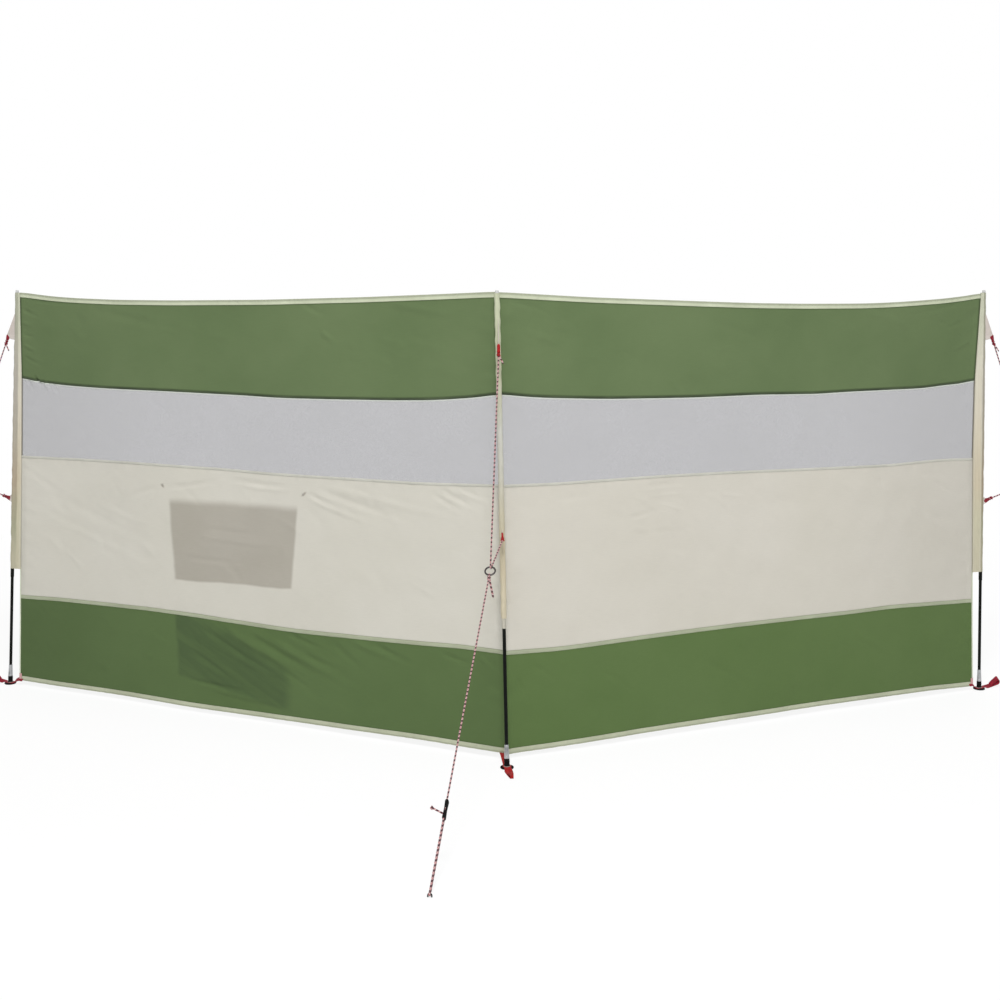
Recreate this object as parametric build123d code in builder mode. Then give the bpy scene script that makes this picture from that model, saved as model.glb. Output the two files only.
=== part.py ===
from build123d import *
import math
import os

os.makedirs("parts", exist_ok=True)

# A two-bay beach windbreak set up as a shallow V. Millimetres, +Z up, ground at z = 0.
# The origin is the centre of the middle pole's foot, on the ground. The apex of the V
# points along -Y, into the wind, and the bays run back to the left and right.

# Poles
pole_height = 1500.0
pole_spacing = 1999.0
pole_radius = 5.5
cap_radius = 5.0
cap_height = 9.0
cap_chamfer = 2.0
bay_angle = {"left": 23.75, "right": 22.77}
pole_lean = {"left": (26.6, -2.0), "centre": (-32.0, 101.0), "right": (32.7, 39.0)}
coupling_length = 32.0
coupling_wall = 0.9

# Feet and ferrules
disc_radius = 21.5
disc_height = 5.0
disc_chamfer = 1.5
collar_radius = 8.5
collar_top = 30.0
ferrule_top = 72.5
ferrule_top_radius = 6.4
ferrule_seat = 44.0

# Cloth
cloth_thickness = 2.0
top_edge_drop = 6.0
top_edge_sag = {"left": 30.0, "right": 42.0}
mesh_top_sag = 32.0
straight_sag = 2.0
bottom_edge_height = 19.0
binding_height = 17.0
thin_seam_height = 7.0
skirt_tape_height = 14.0
hem_height = 16.5

# Heights of the seams, as shares of the cloth's height from its bottom edge
mesh_top_share = 0.781
mesh_bottom_share = 0.574
skirt_top_share = 0.2123

# Distance from each pole's axis to the cloth's side edge, at the five edge heights
edge_setback = {
    "left": (10.5, 27.0, 33.0, 40.0, 45.0),
    "centre": (14.0, 28.0, 42.0, 59.0, 76.0),
    "right": (11.0, 36.0, 42.0, 36.0, 30.0),
}

# Sleeves
sleeve_wall = 1.8
sleeve_bore_clearance = 0.7
sleeve_drop = 9.0
sleeve_bottom_share = {"left": 0.2855, "centre": 0.301, "right": 0.2855}

# Guy lines
guy_direction = {"left": None, "centre": (-0.2093, -0.9779), "right": None}
tab_direction = {"left": None, "centre": (0.04, -0.9992), "right": None}
upper_tab_share = 0.884
middle_tab_share = {"left": 0.4655, "centre": 0.4805, "right": 0.4645}
ring_reach = {"left": 275.0, "centre": 182.5, "right": 275.0}
ring_share = {"left": 0.5055, "centre": 0.425, "right": 0.5055}
peg_reach = {"left": 1450.0, "centre": 936.5, "right": 1450.0}
gusset_above = 93.0
gusset_below = 14.0
gusset_reach = 38.0
patch_half_height = 17.0
patch_reach = 16.0
loop_width = 12.0
loop_length = 30.0
loop_hole_radius = 3.0
cord_radius = 2.0
knot_radius = 4.2
knot_end_share = 0.62
knot_belt_share = 0.4
knot_start = 1.0
knot_sides = 8
cord_sides = 6
eye_sides = 10
ring_sides = 24
hole_sides = 8
bend_steps = 4
peg_bend_steps = 6
ring_radius = 15.5
ring_wire_radius = 2.0
slider_length = 52.0
slider_wall = 1.3
slider_side_wall = 2.6
slider_chamfer = 3.0
slider_position = 0.748
tail_exit = 12.0
tail_turn_radius = 5.0
tail_turn_angle = 67.0
tail_length = 32.0
peg_radius = 2.0
peg_loop_height = 12.0
peg_hook_radius = 5.0
peg_hook_end = 2.0
peg_cut_off = 30.0

# Foot straps
strap_width = 20.0
strap_thickness = 1.5
strap_reach = {"left": 92.0, "centre": 100.0, "right": 94.0}
strap_direction = {"left": None, "centre": (0.15, -0.989), "right": None}
strap_under_hem = 18.0
strap_loop_length = 22.0
strap_loop_radius = 3.9
eyelet_clearance = 1.0
eyelet_sides = 16
stud_sides = 16

# Pocket on the lee side of the left bay, as fractions of the bay from the middle pole and
# shares of the cloth's height
pocket_start = 0.384
pocket_end = 0.655
pocket_top_share = 0.496
pocket_bottom_share = 0.3025
pocket_depth = 20.0
pocket_gap = 0.6
hanger_share = 0.5295
hanger_outset = 0.012
hanger_width = 14.0
stud_radius = 7.0
stud_height = 3.0

# Fits
clearance = 0.3
rope_clearance = 0.2

POLES = ("left", "centre", "right")
BAYS = {"left": -1, "right": 1}
UP = Vector(0, 0, 1)

top_edge_height = pole_height - top_edge_drop


def up_cloth(share):
    """Height above the ground of a share of the cloth's height."""
    return bottom_edge_height + share * (top_edge_height - bottom_edge_height)


mesh_top_height = up_cloth(mesh_top_share)
mesh_bottom_height = up_cloth(mesh_bottom_share)
skirt_top_height = up_cloth(skirt_top_share)
sleeve_top = top_edge_height - sleeve_drop
sleeve_bottom = {p: up_cloth(sleeve_bottom_share[p]) for p in POLES}
edge_heights = (
    top_edge_height,
    mesh_top_height,
    mesh_bottom_height,
    skirt_top_height,
    bottom_edge_height,
)
sleeve_radius = pole_radius + sleeve_bore_clearance + sleeve_wall


# Layout
def interpolate(x, xs, ys):
    """Straight-line value at x between the points xs, ys, with xs falling."""
    pairs = list(zip(xs, ys))
    for (x0, y0), (x1, y1) in zip(pairs, pairs[1:]):
        if x >= x1:
            break
    return y0 + (y1 - y0) * (x - x0) / (x1 - x0)


def bay_direction(bay):
    angle = math.radians(bay_angle[bay])
    return Vector(BAYS[bay] * math.cos(angle), math.sin(angle), 0)


def lee_normal(bay):
    """Horizontal direction out of a bay's cloth on the sheltered side."""
    along = bay_direction(bay)
    return Vector(-BAYS[bay] * along.Y, BAYS[bay] * along.X, 0)


def setback(pole, height):
    return interpolate(height, edge_heights, edge_setback[pole])


def inward(pole):
    """Horizontal direction from a pole to the cloth edge that it carries."""
    return Vector(0, 1, 0) if pole == "centre" else -bay_direction(pole)


centre_top = Vector(*pole_lean["centre"], pole_height)
seam_top = centre_top + inward("centre") * edge_setback["centre"][0]
pole_tops = {
    "left": seam_top + bay_direction("left") * pole_spacing,
    "centre": centre_top,
    "right": seam_top + bay_direction("right") * pole_spacing,
}
feet = {p: pole_tops[p] - Vector(*pole_lean[p], pole_height) for p in POLES}
axes = {p: (pole_tops[p] - feet[p]).normalized() for p in POLES}


def pole_at(pole, height):
    return feet[pole] + axes[pole] * (height / axes[pole].Z)


def edge_at(pole, height):
    """Point on the cloth's side edge, on its windward face."""
    return pole_at(pole, height) + inward(pole) * setback(pole, height)


def cloth_at(bay, fraction, height):
    """Point on a bay's windward face, with the fraction counted from the middle pole."""
    start = edge_at("centre", height)
    end = edge_at(bay, height)
    return start + (end - start) * fraction


# The two bays start just clear of each other behind the middle sleeve
seam_gap = cloth_thickness * math.sin(math.radians(max(bay_angle.values()))) + clearance
seam_fraction = seam_gap / pole_spacing


def cloth_line(bay, height, sag):
    return ThreePointArc(
        cloth_at(bay, seam_fraction, height),
        cloth_at(bay, 0.5, height) - UP * sag,
        cloth_at(bay, 1, height),
    )


def strip_face(bay, upper, lower):
    """Ruled face between two lines of a bay, each given as height and sag."""
    return Face.make_surface_from_curves(cloth_line(bay, *lower), cloth_line(bay, *upper))


def save(part, name):
    part.label = name
    export_step(part, f"parts/{name}.step")


# Cloth panels: each bay is a stack of bands with tapes over the seams between them
def shifted(line, distance):
    height, sag = line
    return height + distance, sag


for bay in BAYS:
    lee = lee_normal(bay)
    top = (top_edge_height, top_edge_sag[bay])
    mesh_top = (mesh_top_height, mesh_top_sag)
    mesh_bottom = (mesh_bottom_height, straight_sag)
    skirt_top = (skirt_top_height, straight_sag)
    bottom = (bottom_edge_height, straight_sag)
    thin = thin_seam_height / 2
    broad = skirt_tape_height / 2
    tapes = {
        "top": (top, shifted(top, -binding_height)),
        "mesh_top": (shifted(mesh_top, thin), shifted(mesh_top, -thin)),
        "mesh_bottom": (shifted(mesh_bottom, thin), shifted(mesh_bottom, -thin)),
        "skirt_top": (shifted(skirt_top, broad), shifted(skirt_top, -broad)),
        "bottom": (shifted(bottom, hem_height), bottom),
    }
    order = list(tapes.values())
    bands = ("upper_band", "mesh_band", "middle_band", "lower_band")
    for band, (above, below) in zip(bands, zip(order, order[1:])):
        band_top = shifted(above[1], -clearance)
        band_bottom = shifted(below[0], clearance)
        with BuildPart() as cloth:
            extrude(strip_face(bay, band_top, band_bottom), amount=cloth_thickness, dir=lee)
        save(cloth.part, f"{bay}_{band}")
    with BuildPart() as binding:
        for tape in ("top", "bottom"):
            extrude(strip_face(bay, *tapes[tape]), amount=cloth_thickness, dir=lee)
    save(binding.part, f"{bay}_edge_binding")
    with BuildPart() as seams:
        for tape in ("mesh_top", "mesh_bottom", "skirt_top"):
            extrude(strip_face(bay, *tapes[tape]), amount=cloth_thickness, dir=lee)
    save(seams.part, f"{bay}_seam_tapes")


# Poles, each with a cap, a ferrule, a foot and a coupling below the sleeve
def across(pole, distance):
    """Plane square to a pole, at a distance along it from its foot."""
    return Plane(origin=feet[pole] + axes[pole] * distance, z_dir=axes[pole])


pole_ends = {p: pole_height / axes[p].Z - cap_height for p in POLES}

for pole in POLES:
    with BuildPart() as rod:
        with BuildSketch(across(pole, ferrule_seat)):
            Circle(pole_radius)
        extrude(amount=pole_ends[pole] - ferrule_seat)
    save(rod.part, f"{pole}_pole")

ferrule_length = ferrule_top - collar_top
socket_radius = pole_radius + rope_clearance
socket_depth = ferrule_top - ferrule_seat

with BuildPart() as ferrules:
    for pole in POLES:
        with Locations(across(pole, collar_top + ferrule_length / 2)):
            Cone(collar_radius, ferrule_top_radius, ferrule_length)
        with Locations(across(pole, ferrule_seat + socket_depth / 2)):
            Cylinder(socket_radius, socket_depth, mode=Mode.SUBTRACT)
save(ferrules.part, "pole_ferrules")

with BuildPart() as discs:
    for pole in POLES:
        with BuildSketch(Plane(feet[pole])):
            Circle(disc_radius)
        extrude(amount=disc_height)
    chamfer(discs.edges().group_by(Axis.Z)[-1], disc_chamfer)
    for pole in POLES:
        with BuildSketch(across(pole, disc_height / 2)):
            Circle(collar_radius)
        extrude(amount=collar_top - disc_height / 2)
save(discs.part, "pole_feet")

with BuildPart() as caps:
    for pole in POLES:
        with BuildSketch(across(pole, pole_ends[pole])):
            Circle(cap_radius)
        extrude(amount=cap_height)
    chamfer(caps.edges().group_by(Axis.Z)[-1], cap_chamfer)
save(caps.part, "pole_caps")

with BuildPart() as couplings:
    for pole in POLES:
        coupling_end = (sleeve_bottom[pole] - clearance) / axes[pole].Z
        with BuildSketch(across(pole, coupling_end - coupling_length)):
            Circle(socket_radius + coupling_wall)
            Circle(socket_radius, mode=Mode.SUBTRACT)
        extrude(amount=coupling_length)
save(couplings.part, "pole_couplings")


# Sleeves: a tunnel round the pole and a flap sewn to the cloth's side edge
def flap_outline(pole):
    inner = pole_radius + sleeve_bore_clearance + sleeve_wall / 2
    toward = inward(pole)
    low, high = sleeve_bottom[pole], sleeve_top
    heights = [high] + [h for h in edge_heights if low < h < high] + [low]
    outer = [edge_at(pole, h) - toward * clearance for h in heights]
    return [pole_at(pole, high) + toward * inner] + outer + [pole_at(pole, low) + toward * inner]


for pole in POLES:
    bottom_distance = sleeve_bottom[pole] / axes[pole].Z
    with BuildPart() as sleeve:
        with BuildSketch(across(pole, bottom_distance)):
            Circle(sleeve_radius)
            Circle(sleeve_radius - sleeve_wall, mode=Mode.SUBTRACT)
        extrude(amount=(sleeve_top - sleeve_bottom[pole]) / axes[pole].Z)
        flap = Face(Wire.make_polygon(flap_outline(pole), close=True))
        extrude(flap, amount=cloth_thickness / 2, both=True)
    save(sleeve.part, f"{pole}_sleeve")


# Guy tabs: a stitched gusset and a patch on each sleeve, each with a webbing loop
def guy_outward(pole):
    return Vector(*guy_direction["centre"], 0).normalized() if pole == "centre" else -inward(pole)


def tab_outward(pole):
    return Vector(*tab_direction["centre"], 0).normalized() if pole == "centre" else -inward(pole)


def tab_plane(pole, height):
    """Upright plane through the pole, with x away from the windbreak and y up."""
    outward = tab_outward(pole)
    return Plane(origin=pole_at(pole, height), x_dir=outward, z_dir=outward.cross(UP))


def ring_centre(pole):
    return pole_at(pole, up_cloth(ring_share[pole])) + guy_outward(pole) * ring_reach[pole]


def line_end(pole):
    """Where the guy line meets its peg."""
    reach = pole_at(pole, 0) + guy_outward(pole) * peg_reach[pole]
    return reach + UP * peg_loop_height


def pull(pole):
    return (line_end(pole) - ring_centre(pole)).normalized()


def sideways(pole):
    """Level direction square to the guy line."""
    return UP.cross(pull(pole)).normalized()


def saddle(pole):
    """Centre of the ring's wire where the bridle runs over it."""
    return ring_centre(pole) - pull(pole) * ring_radius


tab_heights = {
    p: {"upper": up_cloth(upper_tab_share), "middle": up_cloth(middle_tab_share[p])} for p in POLES
}
tab_reach = {"upper": gusset_reach, "middle": patch_reach}
tab_spread = {
    "upper": (gusset_above, gusset_below),
    "middle": (patch_half_height, patch_half_height),
}


def loop_root(pole, tab):
    plane = tab_plane(pole, tab_heights[pole][tab])
    return plane.origin + plane.x_dir * (sleeve_radius + clearance + tab_reach[tab] - loop_width / 2)


def loop_direction(pole, tab):
    """Along the webbing loop, towards the ring, within the tab's own plane."""
    plane = tab_plane(pole, tab_heights[pole][tab])
    toward = saddle(pole) - loop_root(pole, tab)
    return (toward - plane.z_dir * toward.dot(plane.z_dir)).normalized()


def loop_hole(pole, tab):
    return loop_root(pole, tab) + loop_direction(pole, tab) * (loop_length - loop_width)


rim_centre = (loop_width / 2 + loop_hole_radius) / 2
rim_corner = math.hypot((loop_width / 2 - loop_hole_radius) / 2, cloth_thickness / 2)
eye_radius = rim_corner + clearance + cord_radius
knot_offset = rim_centre + eye_radius + cord_radius + knot_start

for pole in POLES:
    with BuildPart() as tabs:
        for tab, height in tab_heights[pole].items():
            plane = tab_plane(pole, height)
            lean = axes[pole].dot(plane.x_dir) / axes[pole].Z
            above, below = tab_spread[tab]
            root = sleeve_radius + clearance
            tip = root + tab_reach[tab]
            direction = loop_direction(pole, tab)
            slope = math.degrees(math.atan2(direction.Z, direction.dot(plane.x_dir)))
            middle = plane.to_local_coords(loop_root(pole, tab) + direction * (loop_length - loop_width) / 2)
            hole = plane.to_local_coords(loop_hole(pole, tab))
            with BuildSketch(plane):
                with BuildLine():
                    Polyline(
                        (root + above * lean, above),
                        (root - below * lean, -below),
                        (tip, -loop_width / 2),
                        (tip, loop_width / 2),
                        close=True,
                    )
                make_face()
                with Locations((middle.X, middle.Y)):
                    SlotOverall(loop_length, loop_width, rotation=slope)
                with Locations((hole.X, hole.Y)):
                    RegularPolygon(loop_hole_radius, hole_sides, major_radius=False, mode=Mode.SUBTRACT)
            extrude(amount=cloth_thickness / 2, both=True)
    save(tabs.part, f"{pole}_guy_tabs")


# Bridles: one cord from tab to tab, over the ring's wire, with an eye and a knot at each end
def knot_point(pole, tab):
    return loop_hole(pole, tab) + loop_direction(pole, tab) * knot_offset


def arc_points(centre, radius, start, end, steps):
    """Points along an arc, with the angles in radians and the ends included."""
    angles = [start + (end - start) * k / steps for k in range(steps + 1)]
    return [(centre[0] + radius * math.cos(a), centre[1] + radius * math.sin(a)) for a in angles]


def ring_points(radius, sides):
    """Corners of a many-sided ring, after a start in the middle of its first side."""
    half = math.pi / sides
    corners = arc_points((0, 0), radius, half, half + 2 * math.pi, sides)[:-1]
    return [(radius * math.cos(half), 0)] + corners


def wire_ring(plane, radius, wire_radius, sides):
    """Add a closed ring of wire or cord to the part being built."""
    with BuildLine(plane) as loop:
        Polyline(*ring_points(radius, sides), close=True)
    with BuildSketch(Plane(origin=loop.line @ 0, z_dir=loop.line % 0)) as section:
        RegularPolygon(wire_radius, cord_sides)
    sweep(section.sketch, path=loop.line, transition=Transition.RIGHT)


def cord_run(plane, points, radius):
    """Add a run of cord or wire through points of a plane to the part being built."""
    with BuildLine(plane) as run:
        Polyline(*points)
    with BuildSketch(Plane(origin=run.line @ 0, z_dir=run.line % 0)) as section:
        RegularPolygon(radius, cord_sides)
    sweep(section.sketch, path=run.line, transition=Transition.RIGHT)


def knot(point, direction):
    """Add a knot round a cord at a point to the part being built."""
    rounds = ((-1, knot_end_share), (-knot_belt_share, 1), (knot_belt_share, 1), (1, knot_end_share))
    sections = []
    for along, share in rounds:
        with BuildSketch(Plane(origin=point + direction * along * knot_radius, z_dir=direction)) as section:
            RegularPolygon(knot_radius * share, knot_sides)
        sections.append(section.sketch)
    loft(sections, ruled=True)


bend_radius = ring_wire_radius + cord_radius + rope_clearance

for pole in POLES:
    upper_end = knot_point(pole, "upper")
    lower_end = knot_point(pole, "middle")
    apex = saddle(pole)
    outward = (apex - (upper_end + lower_end) / 2).normalized()
    normal = (upper_end - apex).cross(lower_end - apex).normalized()
    plane = Plane(origin=apex, x_dir=(outward - normal * outward.dot(normal)), z_dir=-normal)
    ends = [plane.to_local_coords(end) for end in (upper_end, lower_end)]
    side = 1 if ends[0].Y > ends[1].Y else -1
    turns = []
    for end, sign in zip(ends, (side, -side)):
        facing = math.atan2(end.Y, end.X)
        turns.append(facing - sign * math.acos(bend_radius / math.hypot(end.X, end.Y)))
    tangents = [(bend_radius * math.cos(a), bend_radius * math.sin(a)) for a in turns]
    saddle_points = arc_points((0, 0), bend_radius, turns[0], turns[1], bend_steps)
    with BuildPart() as bridle:
        cord_run(plane, [(ends[0].X, ends[0].Y), *saddle_points, (ends[1].X, ends[1].Y)], cord_radius)
        for tab in ("upper", "middle"):
            direction = loop_direction(pole, tab)
            tab_normal = tab_plane(pole, tab_heights[pole][tab]).z_dir
            eye_centre = loop_hole(pole, tab) + direction * rim_centre
            eye_plane = Plane(eye_centre, x_dir=direction, z_dir=direction.cross(tab_normal))
            wire_ring(eye_plane, eye_radius, cord_radius, eye_sides)
            knot(knot_point(pole, tab), direction)
    save(bridle.part, f"{pole}_bridle")

with BuildPart() as rings:
    for pole in POLES:
        ring_plane = Plane(ring_centre(pole), x_dir=pull(pole), z_dir=pull(pole).cross(sideways(pole)))
        wire_ring(ring_plane, ring_radius, ring_wire_radius, ring_sides)
save(rings.part, "guy_rings")


# Guy lines: one cord from the ring, through the slider, round the peg's hook and back below
# itself to the slider, where its tail leaves at the side
strand_spacing = 2 * (peg_radius + cord_radius + rope_clearance)
slider_bore = cord_radius + rope_clearance
slider_height = strand_spacing + 2 * (slider_bore + slider_wall)
slider_width = 2 * (slider_bore + slider_side_wall)


def line_normal(pole):
    """Direction square to the guy line, upwards."""
    return pull(pole).cross(sideways(pole))


for pole in POLES:
    along = pull(pole)
    beside = sideways(pole)
    normal = line_normal(pole)
    start = ring_centre(pole) + along * ring_radius
    length = (line_end(pole) - start).length
    slider_start = length * slider_position
    turn_start = slider_start + slider_length - tail_exit
    knot_distance = knot_offset - rim_centre
    round_peg = arc_points(
        (length, -strand_spacing / 2), strand_spacing / 2, math.pi / 2, -math.pi / 2, peg_bend_steps
    )
    turn_end = math.pi / 2 + math.radians(tail_turn_angle)
    turn = arc_points((turn_start, -tail_turn_radius), tail_turn_radius, math.pi / 2, turn_end, bend_steps)
    tail_direction = (-math.sin(turn_end), math.cos(turn_end))
    tail_end = tuple(p + tail_length * d for p, d in zip(turn[-1], tail_direction))
    line_plane = Plane(origin=start, x_dir=along, z_dir=-beside)
    tail_plane = Plane(origin=start - normal * strand_spacing, x_dir=along, z_dir=normal)
    with BuildPart() as guy:
        cord_run(line_plane, [(knot_distance, 0), *round_peg, (turn_start, -strand_spacing)], cord_radius)
        cord_run(tail_plane, [*turn, tail_end], cord_radius)
        knot(start + along * knot_distance, along)
        knot(
            tail_plane.from_local_coords(Vector(*tail_end)),
            along * tail_direction[0] + beside * tail_direction[1],
        )
        eye_plane = Plane(start, x_dir=along, z_dir=beside)
        wire_ring(eye_plane, ring_wire_radius + cord_radius + 2 * rope_clearance, cord_radius, eye_sides)
    save(guy.part, f"{pole}_guy_line")

    slider_middle = start + along * (slider_start + slider_length / 2) - normal * strand_spacing / 2
    side_plane = Plane(origin=slider_middle, x_dir=along, z_dir=-beside)
    exit_length = tail_turn_radius + 3 * slider_bore
    with BuildPart() as slider:
        with BuildSketch(side_plane) as outline:
            Rectangle(slider_length, slider_height)
            chamfer(outline.vertices(), slider_chamfer)
        extrude(amount=slider_width / 2, both=True)
        with BuildSketch(Plane(origin=slider_middle, x_dir=normal, z_dir=along)):
            with GridLocations(strand_spacing, 0, 2, 1):
                RegularPolygon(slider_bore, hole_sides, major_radius=False)
        extrude(amount=slider_length, both=True, mode=Mode.SUBTRACT)
        with BuildSketch(side_plane):
            with Locations((slider_length / 2 - tail_exit - exit_length / 2 + slider_bore, -strand_spacing / 2)):
                Rectangle(exit_length, 2 * slider_bore)
        extrude(amount=slider_width, mode=Mode.SUBTRACT)
    save(slider.part, f"{pole}_slider")

with BuildPart() as pegs:
    for pole in POLES:
        hook_top = line_end(pole) - line_normal(pole) * strand_spacing / 2
        peg_plane = Plane(origin=hook_top, x_dir=sideways(pole), z_dir=sideways(pole).cross(UP))
        hook = arc_points((0, -peg_hook_radius), peg_hook_radius, math.pi, 0, peg_bend_steps)
        hook_end = (peg_hook_radius, -peg_hook_radius - peg_hook_end)
        cord_run(peg_plane, [(-peg_hook_radius, -peg_cut_off), *hook, hook_end], peg_radius)
    split(bisect_by=Plane.XY, keep=Keep.TOP)
save(pegs.part, "guy_pegs")


# Foot straps: webbing from under the hem, over the foot with the collar through its eyelet,
# and out to a folded loop for a peg
def strap_outward(pole):
    return Vector(*strap_direction["centre"], 0).normalized() if pole == "centre" else -inward(pole)


strap_lift = clearance + strap_thickness / 2
strap_on_disc = disc_height + strap_lift
strap_on_ground = strap_lift
strap_at_hem = bottom_edge_height - straight_sag / 4 - strap_lift
disc_edge = disc_radius + strap_thickness

for pole in POLES:
    outward = strap_outward(pole)
    plane = Plane(origin=feet[pole], x_dir=outward, z_dir=outward.cross(UP))
    hem_end = edge_setback[pole][-1]
    bend = strap_reach[pole] - strap_loop_radius - strap_thickness / 2
    fold = bend - strap_loop_length
    loop_outer = strap_loop_radius + strap_thickness / 2
    with BuildPart() as strap:
        with BuildSketch(plane):
            with BuildLine():
                Polyline(
                    (-hem_end - strap_under_hem, strap_at_hem),
                    (-hem_end, strap_at_hem),
                    (-disc_radius, strap_on_disc),
                    (disc_edge, strap_on_disc),
                    (disc_edge + 2 * disc_height, strap_on_ground),
                    (fold, strap_on_ground),
                )
            trace(line_width=strap_thickness)
            with Locations(((bend + fold) / 2, strap_on_ground + strap_loop_radius)):
                SlotOverall(bend - fold + 2 * loop_outer, 2 * loop_outer)
                SlotOverall(
                    bend - fold + 2 * loop_outer - 2 * strap_thickness,
                    2 * loop_outer - 2 * strap_thickness,
                    mode=Mode.SUBTRACT,
                )
        extrude(amount=strap_width / 2, both=True)
        with BuildSketch(Plane(feet[pole])):
            RegularPolygon(collar_radius + eyelet_clearance, eyelet_sides, major_radius=False)
        extrude(amount=strap_at_hem + strap_thickness, mode=Mode.SUBTRACT)
    save(strap.part, f"{pole}_foot_strap")


# Pocket: sewn to the lee face of the left bay at its sides and bottom, open at the top
def cloth_patch(fractions, heights):
    """Ruled face on the left bay between two fractions and two heights."""
    lines = [Line(cloth_at("left", fractions[0], h), cloth_at("left", fractions[1], h)) for h in heights]
    return Face.make_surface_from_curves(*lines)


lee = lee_normal("left")
pocket_back = cloth_thickness + pocket_gap
pocket_top = up_cloth(pocket_top_share)
pocket_bottom = up_cloth(pocket_bottom_share)
hanger_height = up_cloth(hanger_share)
pocket_seam = cloth_thickness / pole_spacing

with BuildPart() as pocket:
    walls = (
        ((pocket_start, pocket_start + pocket_seam), (pocket_bottom, pocket_top), pocket_back),
        ((pocket_end - pocket_seam, pocket_end), (pocket_bottom, pocket_top), pocket_back),
        ((pocket_start, pocket_end), (pocket_bottom, pocket_bottom + cloth_thickness), pocket_back),
        ((pocket_start, pocket_end), (pocket_bottom, pocket_top), pocket_back + pocket_depth),
    )
    for fractions, heights, near in walls:
        face = cloth_patch(fractions, heights).translate(lee * near)
        extrude(face, amount=pocket_back + pocket_depth + cloth_thickness - near, dir=lee)
save(pocket.part, "pocket")

with BuildPart() as hangers:
    hanger_half = hanger_width / pole_spacing / 2
    for corner, sign in ((pocket_start, -1), (pocket_end, 1)):
        stud_at = corner + sign * hanger_outset
        face = Face.make_surface_from_curves(
            Line(
                cloth_at("left", corner - hanger_half, pocket_top + clearance),
                cloth_at("left", corner + hanger_half, pocket_top + clearance),
            ),
            Line(
                cloth_at("left", stud_at - hanger_half, hanger_height),
                cloth_at("left", stud_at + hanger_half, hanger_height),
            ),
        )
        extrude(face.translate(lee * pocket_back), amount=cloth_thickness, dir=lee)
        with BuildSketch(Plane(cloth_at("left", stud_at, hanger_height) + lee * pocket_back, z_dir=lee)):
            RegularPolygon(stud_radius, stud_sides)
        extrude(amount=cloth_thickness + stud_height)
save(hangers.part, "pocket_hangers")

print("feet", {p: tuple(round(v, 1) for v in feet[p]) for p in POLES})
print("rings", {p: tuple(round(v, 1) for v in ring_centre(p)) for p in POLES})
print("line ends", {p: tuple(round(v, 1) for v in line_end(p)) for p in POLES})
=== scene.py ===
# %% [markdown]
# # A beach windbreak
# Two bays of banded cloth stand in a shallow V on three slim poles. This lesson dresses the
# solid model of it: every soft solid is replaced by cloth, webbing or cord made in mesh code,
# and the hard parts get turned shapes and finishes. The frame comes first.

# %% Load the frame
import math
import bpy
import numpy as np
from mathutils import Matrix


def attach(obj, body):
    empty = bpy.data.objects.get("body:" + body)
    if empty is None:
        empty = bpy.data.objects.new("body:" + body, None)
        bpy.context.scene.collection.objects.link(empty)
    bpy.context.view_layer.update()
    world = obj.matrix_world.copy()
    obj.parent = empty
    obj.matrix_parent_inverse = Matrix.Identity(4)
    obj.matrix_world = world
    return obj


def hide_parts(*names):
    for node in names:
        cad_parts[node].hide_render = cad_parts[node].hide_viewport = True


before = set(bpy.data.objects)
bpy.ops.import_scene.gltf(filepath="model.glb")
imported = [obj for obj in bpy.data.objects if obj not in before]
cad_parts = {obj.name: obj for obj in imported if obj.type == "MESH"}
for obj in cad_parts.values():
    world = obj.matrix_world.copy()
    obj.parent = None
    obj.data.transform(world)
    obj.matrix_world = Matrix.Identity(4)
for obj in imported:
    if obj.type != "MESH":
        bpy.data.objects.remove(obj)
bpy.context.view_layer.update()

# %% [markdown]
# ## Layout
# The cloth, the sleeves and the stays all hang from three leaning poles, so the poles are laid
# out first. Typing in finished positions would work too, but a few functions that turn a pole
# and a height into a point keep every later piece on the object. All lengths are metres.

# %% Poles and heights
mm = 0.001
POLES = ("left", "centre", "right")
BAYS = {"left": -1, "right": 1}
UP = np.array((0.0, 0.0, 1.0))

pole_height = 1500 * mm
pole_spacing = 1999 * mm
bay_angle = {"left": 23.75, "right": 22.77}
pole_lean = {"left": (26.6, -2.0), "centre": (-32.0, 101.0), "right": (32.7, 39.0)}
edge_setback = {
    "left": (10.5, 27.0, 33.0, 40.0, 45.0),
    "centre": (14.0, 28.0, 42.0, 59.0, 76.0),
    "right": (11.0, 36.0, 42.0, 36.0, 30.0),
}
bottom_edge_height = 19 * mm
top_edge_height = pole_height - 6 * mm
pocket_start, pocket_end = 0.384, 0.655


def up_cloth(share):
    return bottom_edge_height + share * (top_edge_height - bottom_edge_height)


seam_shares = {"top": 1.0, "mesh_top": 0.781, "mesh_bottom": 0.574, "skirt_top": 0.2123, "bottom": 0.0}
seam_heights = {seam: up_cloth(share) for seam, share in seam_shares.items()}
sleeve_top = top_edge_height - 9 * mm
sleeve_bottom = {"left": up_cloth(0.2855), "centre": up_cloth(0.301), "right": up_cloth(0.2855)}
print("seam heights", {seam: round(height, 3) for seam, height in seam_heights.items()})


# %% Points on poles and cloth
def unit(vector):
    return np.asarray(vector, float) / np.linalg.norm(vector)


def bay_direction(bay):
    angle = math.radians(bay_angle[bay])
    return np.array((BAYS[bay] * math.cos(angle), math.sin(angle), 0.0))


def lee_normal(bay):
    along = bay_direction(bay)
    return np.array((-BAYS[bay] * along[1], BAYS[bay] * along[0], 0.0))


def inward(pole):
    return np.array((0.0, 1.0, 0.0)) if pole == "centre" else -bay_direction(pole)


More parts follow.
